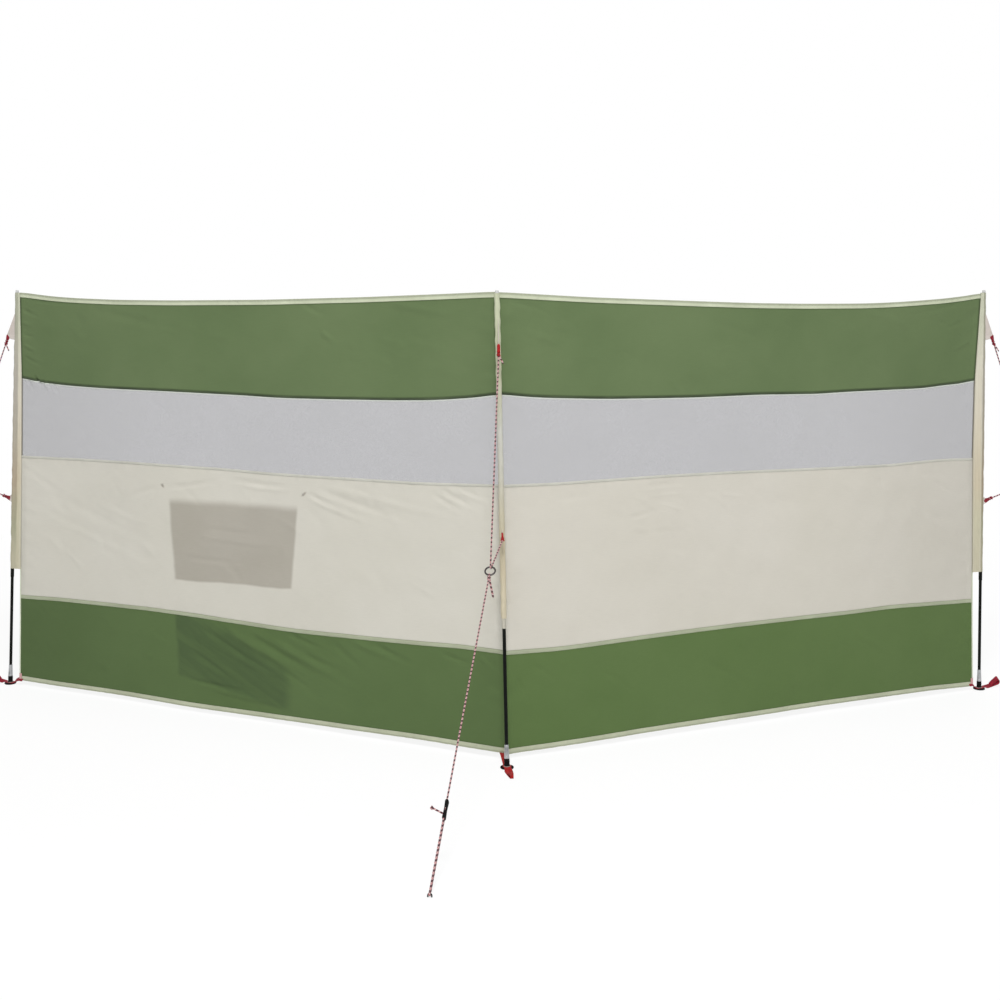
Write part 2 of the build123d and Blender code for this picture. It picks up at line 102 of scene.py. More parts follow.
lean = {pole: np.array((*offset, 0.0)) * mm for pole, offset in pole_lean.items()}
centre_top = lean["centre"] + UP * pole_height
seam_top = centre_top + inward("centre") * edge_setback["centre"][0] * mm
pole_tops = {
    "left": seam_top + bay_direction("left") * pole_spacing,
    "centre": centre_top,
    "right": seam_top + bay_direction("right") * pole_spacing,
}
feet = {pole: pole_tops[pole] - lean[pole] - UP * pole_height for pole in POLES}
axes = {pole: unit(pole_tops[pole] - feet[pole]) for pole in POLES}


def pole_at(pole, height):
    height = np.asarray(height, float)[..., None]
    return feet[pole] + axes[pole] * height / axes[pole][2]


def setback(pole, height):
    rising = sorted(seam_heights.values())
    return np.interp(height, rising, edge_setback[pole][::-1]) * mm


def edge_at(pole, height):
    return pole_at(pole, height) + inward(pole) * setback(pole, height)[..., None]


def cloth_at(bay, fraction, height):
    start, end = edge_at("centre", height), edge_at(bay, height)
    return start + (end - start) * np.asarray(fraction, float)[..., None]


print("feet", {pole: feet[pole].round(3).tolist() for pole in POLES})

# %% [markdown]
# ## Camera
# The pole tops lie on one level line in the picture, so the camera stood at their height, and
# the picture was cropped lower. A level camera with a downward lens shift does the same, and
# keeps the poles upright. Tilting the camera would make them lean together.

# %% Camera
picture_width, focal_pixels, sensor_width = 1000, 1368, 36
camera_data = bpy.data.cameras.new("camera")
camera_data.sensor_width = sensor_width
camera_data.lens = focal_pixels / picture_width * sensor_width
camera_data.shift_y = -0.21
camera = bpy.data.objects.new("camera", camera_data)
camera.location = (-0.022, -4.293, pole_height)
camera.rotation_euler = (math.pi / 2, 0, 0)
bpy.context.scene.collection.objects.link(camera)
bpy.context.scene.camera = camera
print("lens", round(camera_data.lens, 2))

# %% [markdown]
# ## Light
# Thin cloth in a studio is lit from all round, and only a faint drift of light across it shows
# its wrinkles. The world gives the even part, a large lamp high above the camera gives the
# drift, and a weak one behind lights the far side. The world and the floor look white to the
# camera and to mirrors, while the floor still takes the shadow that the lamps throw.

# %% World and lamps
world = bpy.data.worlds.new("studio")
world.use_nodes = True
bpy.context.scene.world = world
tree = world.node_tree
tree.nodes.clear()
world_out = tree.nodes.new("ShaderNodeOutputWorld")
seen, cast = (tree.nodes.new("ShaderNodeBackground") for _ in range(2))
seen.inputs["Strength"].default_value = 1.0
cast.inputs["Strength"].default_value = 0.43
seen.inputs["Color"].default_value = (1, 1, 1, 1)
cast.inputs["Color"].default_value = (1, 1, 1, 1)


def seen_rays(nodes, links):
    """A factor that is 1 for the rays that see a surface directly, by mirror or through glass."""
    path = nodes.new("ShaderNodeLightPath")
    total = path.outputs["Is Camera Ray"]
    for name in ("Is Glossy Ray", "Is Transmission Ray"):
        higher = nodes.new("ShaderNodeMath")
        higher.operation = "MAXIMUM"
        links.new(total, higher.inputs[0])
        links.new(path.outputs[name], higher.inputs[1])
        total = higher.outputs[0]
    return total


world_mix = tree.nodes.new("ShaderNodeMixShader")
tree.links.new(seen_rays(tree.nodes, tree.links), world_mix.inputs[0])
tree.links.new(cast.outputs[0], world_mix.inputs[1])
tree.links.new(seen.outputs[0], world_mix.inputs[2])
tree.links.new(world_mix.outputs[0], world_out.inputs[0])

for name, place, size, energy in (
    ("key", (0.1, -4.6, 7.6), 1.8, 570),
    ("back", (2.5, 6.0, 5.0), 3.0, 90),
):
    lamp_data = bpy.data.lights.new(name, "AREA")
    lamp_data.size = size
    lamp_data.energy = energy
    lamp = bpy.data.objects.new(name, lamp_data)
    lamp.location = place
    aim = unit(np.array((0, 0.4, 0.6)) - np.array(place))
    lamp.rotation_euler = (math.acos(-aim[2]), 0, math.atan2(aim[1], aim[0]) - math.pi / 2)
    bpy.context.scene.collection.objects.link(lamp)

# %% [markdown]
# ## Shader arithmetic
# A finish is a recipe of many small sums: a weave is two sine waves multiplied, a stitch is a
# short stretch of a row. Wiring each sum by hand hides the recipe, so a socket is wrapped in a
# class that knows +, -, * and /. On numbers it adds Math nodes, on colours Mix nodes, and on
# vectors Vector Math nodes.


# %% Sockets that can be added and multiplied
class Wire:
    """One output socket, or the result of a sum of sockets."""

    def __init__(self, finish, socket):
        self.finish, self.socket = finish, socket

    def sum_of(self, operation, first, second):
        kinds = {part.socket.type for part in (first, second) if isinstance(part, Wire)}
        if "RGBA" in kinds:
            settings = {"data_type": "RGBA", "blend_type": operation}
            return self.finish.node("ShaderNodeMix", settings, {0: 1.0, 6: first, 7: second}, 2)
        kind = "ShaderNodeVectorMath" if "VECTOR" in kinds else "ShaderNodeMath"
        return self.finish.node(kind, {"operation": operation}, {0: first, 1: second})

    def __add__(self, other):
        return self.sum_of("ADD", self, other)

    def __radd__(self, other):
        return self.sum_of("ADD", other, self)

    def __sub__(self, other):
        return self.sum_of("SUBTRACT", self, other)

    def __rsub__(self, other):
        return self.sum_of("SUBTRACT", other, self)

    def __mul__(self, other):
        return self.sum_of("MULTIPLY", self, other)

    def __rmul__(self, other):
        return self.sum_of("MULTIPLY", other, self)

    def __truediv__(self, other):
        return self.sum_of("DIVIDE", self, other)

    def __rtruediv__(self, other):
        return self.sum_of("DIVIDE", other, self)

    def math(self, operation, *others):
        return self.finish.node("ShaderNodeMath", {"operation": operation}, dict(enumerate((self, *others))))

    def wave(self, length):
        """A sine that repeats after each length."""
        return (self * (2 * math.pi / length)).math("SINE")

    def between(self, start, end):
        """0 below start, 1 above end, and smooth between them; the other way round if end is lower."""
        low, high = min(start, end), max(start, end)
        targets = (0.0, 1.0) if start < end else (1.0, 0.0)
        values = {0: self, 1: low, 2: high, 3: targets[0], 4: targets[1]}
        return self.finish.node("ShaderNodeMapRange", {"interpolation_type": "SMOOTHSTEP"}, values)

    def mix(self, first, second):
        """A colour between two, with this value as the share of the second."""
        settings = {"data_type": "RGBA", "clamp_factor": True}
        return self.finish.node("ShaderNodeMix", settings, {0: self, 6: first, 7: second}, 2)

    def split(self):
        return [self.finish.node("ShaderNodeSeparateXYZ", {}, {0: self}, axis) for axis in range(3)]


# %% One class for a finish
class Finish:
    """A material with one Principled shader, whose fixed numbers sit on the shader itself."""

    def __init__(self, name, **fixed):
        self.material = bpy.data.materials.new(name)
        self.material.use_nodes = True
        self.tree = self.material.node_tree
        self.tree.nodes.clear()
        self.out = self.tree.nodes.new("ShaderNodeOutputMaterial")
        self.shader = self.tree.nodes.new("ShaderNodeBsdfPrincipled")
        self.tree.links.new(self.shader.outputs[0], self.out.inputs[0])
        for socket, value in fixed.items():
            self.shader.inputs[socket.replace("_", " ")].default_value = value

    def node(self, kind, settings, values, out=0):
        node = self.tree.nodes.new(kind)
        for key, value in settings.items():
            if key == "stops":
                ramp = node.color_ramp
                for place, colour in value[2:]:
                    ramp.elements.new(place)
                for stop, (place, colour) in zip(ramp.elements, value):
                    stop.position, stop.color = place, (*colour, 1)
            else:
                setattr(node, key, value)
        for key, value in values.items():
            self.feed(node.inputs[key], value)
        return Wire(self, node.outputs[out])

    def feed(self, socket, value):
        if isinstance(value, Wire):
            self.tree.links.new(value.socket, socket)
        elif socket.type == "RGBA" and len(np.shape(value)) and len(value) == 3:
            socket.default_value = (*value, 1)
        else:
            socket.default_value = value

    def set(self, socket, value):
        self.feed(self.shader.inputs[socket], value)

    def bump(self, height, distance, strength=1.0):
        values = {"Height": height, "Distance": distance, "Strength": strength}
        self.set("Normal", self.node("ShaderNodeBump", {}, values))

    def cut(self):
        """The piece's own flat coordinates in metres: along it and across it."""
        return self.node("ShaderNodeUVMap", {"uv_map": "cut"}, {})

    def to_seams(self):
        """Distances in metres below the seam above and over the seam below."""
        return self.node("ShaderNodeUVMap", {"uv_map": "seams"}, {}).split()[:2]

    def noise(self, place, scale, detail=2.0):
        return self.node("ShaderNodeTexNoise", {}, {"Vector": place, "Scale": scale, "Detail": detail})

    def place(self):
        return self.node("ShaderNodeTexCoord", {}, {}, 3)


def srgb(red, green, blue):
    """A colour as a picture stores it, turned into the light that a shader works with."""
    scaled = (channel / 255 for channel in (red, green, blue))
    return tuple(c / 12.92 if c <= 0.04045 else ((c + 0.055) / 1.055) ** 2.4 for c in scaled)


def scaled(colour, factor):
    return tuple(channel * factor for channel in colour)


print("mid grey", [round(c, 3) for c in srgb(128, 128, 128)])

# %% [markdown]
# ## Cloth finishes
# The bands are a thin plain-woven polyester. A plain weave is one thread over, one under, so
# its height is a product of two sine waves. A picture of cloth would repeat and has one scale
# only. The threads are finer than a pixel from afar, so they feed the bump and only a little
# of the colour, and slow noise gives the uneven dye and the soft crumple.

# %% Weave and band cloth
thread_pitch = 0.8 * mm


def weave(along, across, pitch):
    return along.wave(pitch) * across.wave(pitch)


def stitches(along, across, rows, length=3.4 * mm, width=0.9 * mm):
    """1 on the threads of straight rows of stitching, each at its own distance across."""
    dash = along.wave(length).between(-0.55, -0.1)
    total = 0.0
    for row in rows:
        near = (across - row).math("ABSOLUTE").between(width * 0.75, width * 0.35)
        total = near + total
    return dash * total.math("MINIMUM", 1.0)


def near_ends(along, wide):
    """1 on the last stretch of cloth before either pole."""
    return along.between(pole_spacing - wide, pole_spacing - wide * 0.4) + along.between(wide, wide * 0.4)


def band_cloth(name, colour, deeper, shade=None, crumple=0.9, seam_shading=(0.15, 0.12), ends=0.0, far=0.0):
    finish = Finish(name, Roughness=0.85, Specular_IOR_Level=0.16, Sheen_Weight=0.04, Sheen_Roughness=0.5)
    cut = finish.cut()
    along, across, _ = cut.split()
    threads = weave(along, across, thread_pitch)
    dye = finish.noise(cut, 2.2, 4.0).between(0.3, 0.72)
    slub = finish.noise(finish.node("ShaderNodeMapping", {}, {"Vector": cut, "Scale": (30, 420, 1)}), 1.0, 1.0)
    base = dye.mix(deeper, colour)
    # far darkens the cloth over its last stretch before the outer pole: painted shade.
    tint = base * (0.955 + slub * 0.07 + threads * 0.02 - along.between(1.3, 1.95) * far)
    if shade:
        tint = shade(finish, along, across, tint)
    # Painted shade: the cloth darkens in a narrow strip along each seam, and by the ends share next to either pole.
    below, over = finish.to_seams()
    seam_shade = below.between(7 * mm, 1 * mm) * seam_shading[0] + over.between(6 * mm, 1 * mm) * seam_shading[1]
    if ends:
        seam_shade = (seam_shade + near_ends(along, 12 * mm) * ends).math("MINIMUM", 0.75)
    finish.set("Base Color", seam_shade.mix(tint, scaled(deeper, 0.35)))
    folds = finish.noise(cut, 26.0, 3.0) * crumple + threads * 0.05
    finish.bump(folds, 1.6 * mm, 0.7)
    return finish.material


# The upper green gets deep painted shade along both its seams and next to the poles, and a little towards the outer
# pole.
upper_green = band_cloth("upper_green", srgb(101, 118, 81), srgb(94, 112, 75), seam_shading=(0.35, 0.62), ends=0.55, far=0.03)
print("cloth", upper_green.name)

# %% [markdown]
# Light that comes from behind shows what hangs on the far side: the pocket darkens a patch of
# the beige band, and soft shade falls where the snaps pucker it. A slanting patch of the lower
# green band is darker too, streaked along its wrinkles, with painted highlights on the streaks.
# All of it is painted shade in the cloth's own flat coordinates, with no second light set-up.

# %% Beige and lower green cloth with painted shade of the pocket and of a slanting patch
pocket_low, pocket_high = up_cloth(0.3025), up_cloth(0.496)
pocket_near, pocket_far = pocket_start * pole_spacing, pocket_end * pole_spacing


def slanted(finish, length, width, angle, at=(0, 0)):
    """The cloth's coordinates, counted in lengths and widths of a mark that lies at an angle."""
    values = {"Vector": finish.cut(), "Location": (*at, 0), "Rotation": (0, 0, math.radians(angle))}
    return finish.node("ShaderNodeMapping", {"vector_type": "TEXTURE"}, values | {"Scale": (length, width, 1)})


def shade_spot(finish, at, length, width, angle):
    """A soft spot of painted shade, longer than it is wide."""
    placed = slanted(finish, length, width, angle, at)
    return finish.node("ShaderNodeVectorMath", {"operation": "LENGTH"}, {0: placed}, 1).between(1.0, 0.2)


def pocket_shade(finish, along, across, colour):
    wander = (finish.noise(finish.cut(), 7.0, 2.0) - 0.5) * (12 * mm)
    taper = (pocket_high - across) * 0.085
    far_side = (along + taper + wander).between(pocket_far + 6 * mm, pocket_far - 12 * mm)
    near_side = (along - taper + wander).between(pocket_near - 4 * mm, pocket_near + 10 * mm)
    level = across + wander + along * 0.012 - 0.012
    bottom = level.between(pocket_low - 3 * mm, pocket_low + 7 * mm)
    top = level.between(pocket_high + 14 * mm, pocket_high - 20 * mm)
    patch = far_side * near_side * (bottom * top) * (0.9 + finish.noise(finish.cut(), 5.0, 1.0) * 0.14)
    shaded = patch.mix(colour, colour * srgb(212, 209, 206))
    # Painted shade round the two snaps, where the cloth puckers.
    pucker_shade = shade_spot(finish, (1.335, 0.795), 14 * mm, 7 * mm, 40)
    pucker_shade = pucker_shade + shade_spot(finish, (0.742, 0.8), 17 * mm, 7 * mm, -38)
    return (pucker_shade.math("MINIMUM", 1.0) * 0.7).mix(shaded, colour * srgb(186, 178, 172))


def slanting_patch_shade(finish, along, across, colour):
    wander = (finish.noise(finish.cut(), 14.0, 2.0) - 0.5) * (26 * mm)
    streaks = finish.noise(slanted(finish, 260 * mm, 32 * mm, 25.5), 1.0, 2.0)
    inside = (along + wander + (0.32 - across) * 0.06).between(pocket_far - 22 * mm, pocket_far - 40 * mm)
    inside = inside * (along + wander).between(pocket_near + 20 * mm, pocket_near + 70 * mm)
    slant = across - along * 0.476 + wander * 1.6
    inside = inside * slant.between(-0.175, -0.235)
    inside = inside * (across + wander * 0.6 - along * 0.17).between(-0.098, -0.078)
    # Painted shade over the slanting patch, deeper along its streaks.
    depth = (inside * (0.5 + streaks.between(0.32, 0.66) * 0.5)).math("MINIMUM", 1.0)
    dark = depth.mix(colour, colour * srgb(216, 216, 228))
    # Painted highlights along the slanting streaks, across the middle of the bay.
    fade = along.between(0.35, 0.7) * along.between(1.35, 1.15)
    return ((streaks.between(0.5, 0.7) * fade) * 0.3).mix(dark, colour * srgb(266, 266, 262))


# The far shares darken each band towards its outer pole, as painted shade, and the lower green is the upper band's
# cloth written darker, as painted shade low on the windbreak.
left_beige = band_cloth("left_beige", srgb(204, 201, 191), srgb(201, 198, 187), pocket_shade)
right_beige = band_cloth("right_beige", srgb(203, 199, 189), srgb(200, 196, 185), far=0.07)
left_green = band_cloth("left_lower_green", srgb(89, 109, 68), srgb(85, 105, 64), slanting_patch_shade, far=0.14)
right_green = band_cloth("right_lower_green", srgb(92, 113, 68), srgb(88, 110, 64), far=0.04)
print("cloth", left_beige.name, right_green.name)

# %% [markdown]
# The mesh band is an open net that lets the background through. A real net of threads would
# need millions of faces, so the net is cut out of one sheet by its alpha: thin threads around
# small holes, and a little thread fuzz over the holes. It looks like net close up and like
# light grey gauze from afar.

# %% Net
net_pitch = 1.7 * mm


def net_cloth(name):
    finish = Finish(name, Roughness=0.7, Sheen_Weight=0.1)
    cut = finish.cut()
    along, across, _ = cut.split()
    rising, falling = ((along + across * slope).wave(net_pitch) for slope in (0.58, -0.58))
    threads = (rising * falling).math("ABSOLUTE").between(0.75, 0.1)
    patchy = finish.noise(cut, 5.0, 4.0)
    specks = finish.noise(cut, 120.0, 2.0).between(0.35, 0.7)
    body = patchy.between(0.3, 0.7).mix(srgb(130, 130, 134), srgb(137, 137, 141))
    # Painted shade: the net darkens towards the outer pole.
    body = body * (0.94 + specks * 0.1 - along.between(1.35, 1.95) * 0.2)
    below, _ = finish.to_seams()
    # Next to each pole the net's edge is opaque and coloured dark grey-brown as painted shade; below the top seam it
    # has a pale selvedge.
    selvedge, rim = below.between(7 * mm, 3 * mm), near_ends(along, 10 * mm).math("MINIMUM", 1.0)
    finish.set("Base Color", rim.mix(selvedge.mix(body, srgb(196, 201, 193)), srgb(128, 124, 114)))
    finish.set("Alpha", 0.52 + threads * 0.22 + patchy * 0.05 + (selvedge + rim) * 0.5)
    finish.bump(threads, 0.3 * mm, 0.3)
    return finish.material


net = net_cloth("mesh_net")
print("net", net.name)

# %% [markdown]
# ## Tapes, sleeves, webbing and cord
# Everything that carries load is folded, ribbed or braided, and each shows rows of stitching.
# The rows live in the finish, in the tape's own metres, because thousands of modelled stitches
# would be smaller than a pixel.


# %% Tape and sleeve cloth
def tape_cloth(name, colour, deeper, rows, edges=(), creases=(60.0, 0.5), dark=0.45):
    finish = Finish(name, Roughness=0.8, Specular_IOR_Level=0.2, Sheen_Weight=0.05)
    cut = finish.cut()
    along, across, _ = cut.split()
    threads = weave(along, across, 1.1 * mm)
    dirt = finish.noise(cut, 7.0, 4.0).between(0.32, 0.7)
    sewn = stitches(along, across, rows)
    pinch = (along * (2 * math.pi / 0.021) + finish.noise(cut, 30.0) * 9.0).math("SINE")
    tint = dirt.mix(deeper, colour) * (0.96 + threads * 0.03 + finish.noise(cut, 90.0) * 0.06)
    # Darker lines across the tape at the given places are painted shade along its edges and its fold.
    for edge, wide in edges:
        line = (across - edge).math("ABSOLUTE").between(wide, wide * 0.4)
        tint = (line * 0.75).mix(tint, scaled(deeper, dark))
    finish.set("Base Color", (sewn * 0.8).mix(tint, scaled(colour, 1.08)))
    pull = finish.noise(cut, creases[0], 2.0) * creases[1] + pinch * 0.12
    finish.bump(sewn * 0.5 + threads * 0.08 + pull, 0.8 * mm, 0.6)
    return finish.material


binding_tape = tape_cloth(
    "binding_tape", srgb(198, 204, 178), srgb(184, 190, 164), rows=(4 * mm, 31 * mm),
    edges=((0, 1.4 * mm), (17 * mm, 9 * mm), (35 * mm, 1.4 * mm)), dark=0.6,
)
hem_tape = tape_cloth(
    "hem_tape", srgb(188, 192, 168), srgb(174, 178, 154), rows=(5 * mm, 39 * mm),
    edges=((0, 1.4 * mm), (14 * mm, 3 * mm), (33 * mm, 2.2 * mm)), dark=0.7,
)
seam_tape = tape_cloth(
    "seam_tape", srgb(170, 176, 151), srgb(158, 163, 139), rows=(4 * mm, 13 * mm, 25 * mm),
    edges=((1.0 * mm, 2.4 * mm),), dark=0.75,
)
thin_tape = tape_cloth("thin_seam_tape", srgb(194, 193, 183), srgb(184, 183, 173), (3 * mm, 11 * mm))
# The thin tape over the seam at the top of the mesh is dark green as painted shade in that seam.
shaded_seam_finish = tape_cloth("shaded_seam_tape", srgb(72, 84, 60), srgb(50, 60, 42), (3 * mm, 11 * mm))
edge_tape = tape_cloth("edge_tape", srgb(214, 219, 198), srgb(196, 202, 178), (3 * mm,))
shaded_edge_tape = tape_cloth("shaded_edge_tape", srgb(96, 112, 84), srgb(84, 100, 72), (3 * mm,))
patch_cloth = tape_cloth("patch_cloth", srgb(222, 188, 184), srgb(196, 150, 150), (3 * mm,))
gusset_cloth = tape_cloth("gusset_cloth", srgb(216, 208, 202), srgb(198, 188, 180), (3 * mm,), creases=(40.0, 0.6))
print("tapes", binding_tape.name, seam_tape.name)


# %% Sleeve cloth
# Colours by height for the sleeves' tunnels and flaps, with painted light and shade that drift up the sleeve.
side_tunnel = (
    (0.33, srgb(188, 183, 160)), (0.41, srgb(168, 167, 142)), (0.52, srgb(178, 164, 143)), (0.62, srgb(178, 171, 155)),
    (0.75, srgb(180, 174, 163)), (0.85, srgb(178, 175, 160)), (0.95, srgb(172, 174, 154)),
)
side_flap = (
    (0.33, srgb(200, 194, 170)), (0.42, srgb(203, 198, 172)), (0.52, srgb(206, 195, 170)), (0.7, srgb(218, 210, 191)),
    (0.82, srgb(216, 212, 194)), (0.93, srgb(196, 198, 176)),
)
centre_tunnel = (
    (0.35, srgb(206, 196, 170)), (0.42, srgb(202, 191, 164)), (0.5, srgb(196, 188, 162)), (0.6, srgb(196, 194, 180)),
    (0.7, srgb(200, 200, 190)), (0.8, srgb(194, 194, 166)), (0.95, srgb(194, 199, 170)),
)


def sleeve_finish(name, tunnel_stops, flap_stops, border=0.85):
    """The tunnel is greyer where the dark pole shows through it, painted as shade; painted light and shade drift with
    its height, and painted shade lines run along its edges.
    """
    finish = Finish(name, Roughness=0.82, Specular_IOR_Level=0.2, Sheen_Weight=0.05)
    cut = finish.cut()
    along, across, _ = cut.split()
    zone, height = finish.to_seams()
    threads = weave(along, across, 1.0 * mm)
    blotch = finish.noise(cut, 11.0, 4.0)
    streaks = finish.noise(finish.node("ShaderNodeMapping", {}, {"Vector": cut, "Scale": (9, 150, 1)}), 1.0, 3.0)
    flap = (zone + (blotch - 0.5) * 0.2).between(border + 0.1, border - 0.1)
    back = (zone + (blotch - 0.5) * 0.2).between(2.9 - border, 3.1 - border)
    level = (height + (blotch - 0.5) * 0.12) / 1.5
    tunnel, warm = (
        finish.node("ShaderNodeValToRGB", {"stops": stops}, {0: level}) for stops in (tunnel_stops, flap_stops)
    )
    sewn = stitches(along, zone * (10 * mm), (1.2 * mm, 8.2 * mm, 28.8 * mm), 3.2 * mm, 0.8 * mm)
    # Painted shade: dark lines where the front flap meets the cloth and where it meets the tunnel.
    edge = zone.between(0.16, 0.02) + zone.between(0.9, 0.97) * zone.between(1.12, 1.02)
    tint = (flap + back).math("MINIMUM", 1.0).mix(tunnel, warm) * (0.78 + threads * 0.03 + streaks * 0.2)
    tint = (edge * 0.5).mix(tint, srgb(124, 118, 98))
    finish.set("Base Color", (sewn * 0.6).mix(tint, srgb(216, 213, 198)))
    finish.bump(finish.noise(cut, 34.0, 3.0) * 1.4 + streaks * 0.5 + sewn * 0.4 + threads * 0.06, 1.0 * mm, 0.8)
    return finish.material


sleeve_cloth = {"centre": sleeve_finish("centre_sleeve_cloth_finish", centre_tunnel, centre_tunnel)}
sleeve_cloth["left"] = sleeve_finish("left_sleeve_cloth_finish", side_tunnel, side_flap, 0.5)
sleeve_cloth["right"] = sleeve_finish("right_sleeve_cloth_finish", side_tunnel, side_flap)
print("sleeve", [cloth.name for cloth in sleeve_cloth.values()])


# %% Red webbing
def red_webbing(name, colour, worn_colour):
    finish = Finish(name, Roughness=0.7, Specular_IOR_Level=0.25, Sheen_Weight=0.08)
    cut = finish.cut()
    along, across, _ = cut.split()
    ribs, cords = along.wave(1.6 * mm), across.wave(2.4 * mm)
    worn = finish.noise(cut, 160.0, 3.0)
    body = worn.between(0.3, 0.7).mix(colour, worn_colour)
    finish.set("Base Color", body * (0.88 + ribs * 0.07 + cords * 0.05))
    finish.bump(ribs * 0.5 + cords * 0.4 + worn * 0.4, 0.5 * mm, 0.7)
    return finish.material


bright_webbing = red_webbing("bright_webbing", srgb(140, 8, 14), srgb(188, 22, 20))
dark_webbing = red_webbing("dark_webbing", srgb(116, 4, 26), srgb(160, 12, 44))
webbing = {"left": dark_webbing, "centre": bright_webbing, "right": dark_webbing}


# %% Braided cord
def braided_cord(name):
    """Red and white cord with dark strands, which show as bands where they come to the outside."""
    finish = Finish(name, Roughness=0.7, Specular_IOR_Level=0.25, Sheen_Weight=0.1)
    along, around, _ = finish.cut().split()
    rise = along / (13.5 * mm)
    band = (rise + around.wave(1) * 0.1).math("FRACT")
    dark = band.between(0.02, 0.08) * band.between(0.54, 0.48)
    plait = (rise * 4 + around * 3).wave(1) * (rise * 4 - around * 3).wave(1)
    shade = plait.between(-0.6, 0.6)
    white = (rise * 2 + around * 2).math("FRACT").between(0.3, 0.42)
    reds = shade.mix(srgb(166, 62, 72), srgb(196, 104, 108))
    whites = shade.mix(srgb(196, 168, 167), srgb(218, 196, 193))
    darks = shade.mix(srgb(62, 32, 40), srgb(98, 56, 64))
    finish.set("Base Color", dark.mix(white.mix(reds, whites), darks))
    finish.bump(plait, 0.5 * mm, 0.7)
    return finish.material


cord_finish = braided_cord("braided_cord")
print("webbing and cord", bright_webbing.name, cord_finish.name)

# %% [markdown]
# ## Hard finishes
# The poles are lacquered black, the feet are moulded rubbery plastic, and the ferrules,
# couplings, rings and pegs are bare metal. Metal that is one even grey looks like plastic, so
# its roughness follows fine turning lines and wear.


# %% Lacquer, plastic and metal
def hard_finish(name, colour, other, rough, metal, grain, stretch, depth, **fixed):
    finish = Finish(name, Metallic=metal, **fixed)
    place = finish.place()
    lines = finish.noise(finish.node("ShaderNodeMapping", {}, {"Vector": place, "Scale": stretch}), grain, 3.0)
    wear = finish.noise(place, 38.0, 4.0).between(0.4, 0.75)
    finish.set("Base Color", wear.mix(colour, other) * (0.9 + lines * 0.2))
    finish.set("Roughness", rough + lines * 0.14 + wear * 0.08)
    finish.bump(lines, depth, 0.4)
    return finish.material


pole_lacquer = hard_finish(
    "pole_lacquer", (0.003, 0.004, 0.003), (0.006, 0.007, 0.006), 0.42, 0.0, 60, (40, 40, 1), 0.1 * mm,
    Specular_IOR_Level=0.09,
)
foot_rubber = hard_finish(
    "foot_rubber", (0.004, 0.004, 0.004), (0.009, 0.008, 0.008), 0.6, 0.0, 500, (1, 1, 1), 0.2 * mm,
    Specular_IOR_Level=0.1,
)
cap_plastic = hard_finish("cap_plastic", (0.5, 0.5, 0.49), (0.6, 0.6, 0.59), 0.45, 0.0, 400, (1, 1, 1), 0.1 * mm)
slider_plastic = hard_finish(
    "slider_plastic", (0.003, 0.003, 0.003), (0.006, 0.005, 0.006), 0.5, 0.0, 600, (1, 1, 1), 0.15 * mm,
    Specular_IOR_Level=0.06,
)
turned_metal = hard_finish("turned_metal", (0.42, 0.43, 0.44), (0.12, 0.12, 0.12), 0.3, 0.9, 30, (9, 9, 1), 0.08 * mm)
pale_metal = hard_finish("pale_metal", srgb(186, 182, 168), srgb(150, 146, 132), 0.4, 0.2, 30, (9, 9, 1), 0.08 * mm)
ring_steel = hard_finish("ring_steel", (0.075, 0.068, 0.066), (0.035, 0.03, 0.03), 0.3, 0.8, 300, (1, 1, 1), 0.05 * mm)
steel_wire = hard_finish("steel_wire", (0.05, 0.048, 0.048), (0.03, 0.028, 0.028), 0.3, 0.6, 300, (1, 1, 1), 0.05 * mm)
stud_metal = hard_finish("stud_metal", (0.42, 0.4, 0.36), (0.34, 0.32, 0.29), 0.45, 0.4, 400, (1, 1, 1), 0.05 * mm)
print("hard finishes", pole_lacquer.name, turned_metal.name)

# %% [markdown]
# ## Mesh helpers
# Nearly every piece here is a net of points in rows and columns: cloth bands, folded tapes,
# tubes of cord, turned metal. One helper turns such a net into a mesh with its flat
# coordinates in metres. Blender's curves and modifiers could make some of them, but a net of
# points can follow the sagging cloth exactly.


# %% A mesh from a net of points
def net_mesh(name, points, cut, material, loop=False, flip=False, seams=None):
    """points is rows by columns by 3, cut is rows by columns by 2; loop closes the rows."""
    rows, columns, _ = points.shape
    vertices = points.reshape(-1, 3)
    index = np.arange(rows * columns).reshape(rows, columns)
    below, above = index[:-1], index[1:]
    if loop:
        below, above = index, np.roll(index, -1, axis=0)
    faces = np.stack([below[:, :-1], below[:, 1:], above[:, 1:], above[:, :-1]], axis=-1).reshape(-1, 4)
    if flip:
        faces = faces[:, ::-1]
    mesh = bpy.data.meshes.new(name)
    mesh.from_pydata(vertices.tolist(), [], faces.tolist())
    corner = np.empty(len(mesh.loops), dtype=np.int32)
    mesh.loops.foreach_get("vertex_index", corner)
    for layer_name, flat in (("cut", cut), ("seams", seams)):
        if flat is not None:
            layer = mesh.uv_layers.new(name=layer_name)
            layer.data.foreach_set("uv", flat.reshape(-1, 2)[corner].astype(np.float32).ravel())
    mesh.polygons.foreach_set("use_smooth", np.ones(len(mesh.polygons), dtype=bool))
    mesh.materials.append(material)
    piece = bpy.data.objects.new(name, mesh)
    bpy.context.scene.collection.objects.link(piece)
    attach(piece, "root")
    return piece


def joined(name, parts):
    """Several nets made into one piece."""
    keep = parts[0]
    with bpy.context.temp_override(active_object=keep, selected_editable_objects=parts, selected_objects=parts):
        bpy.ops.object.join()
    keep.name = name
    keep.data.name = name
    return keep


def across_axes(direction, hint=UP):
    """Two unit vectors square to a direction."""
    first = np.cross(direction, hint)
    if np.linalg.norm(first) < 1e-6:
        first = np.cross(direction, (1.0, 0.0, 0.0))
    first = unit(first)
    return first, unit(np.cross(direction, first))


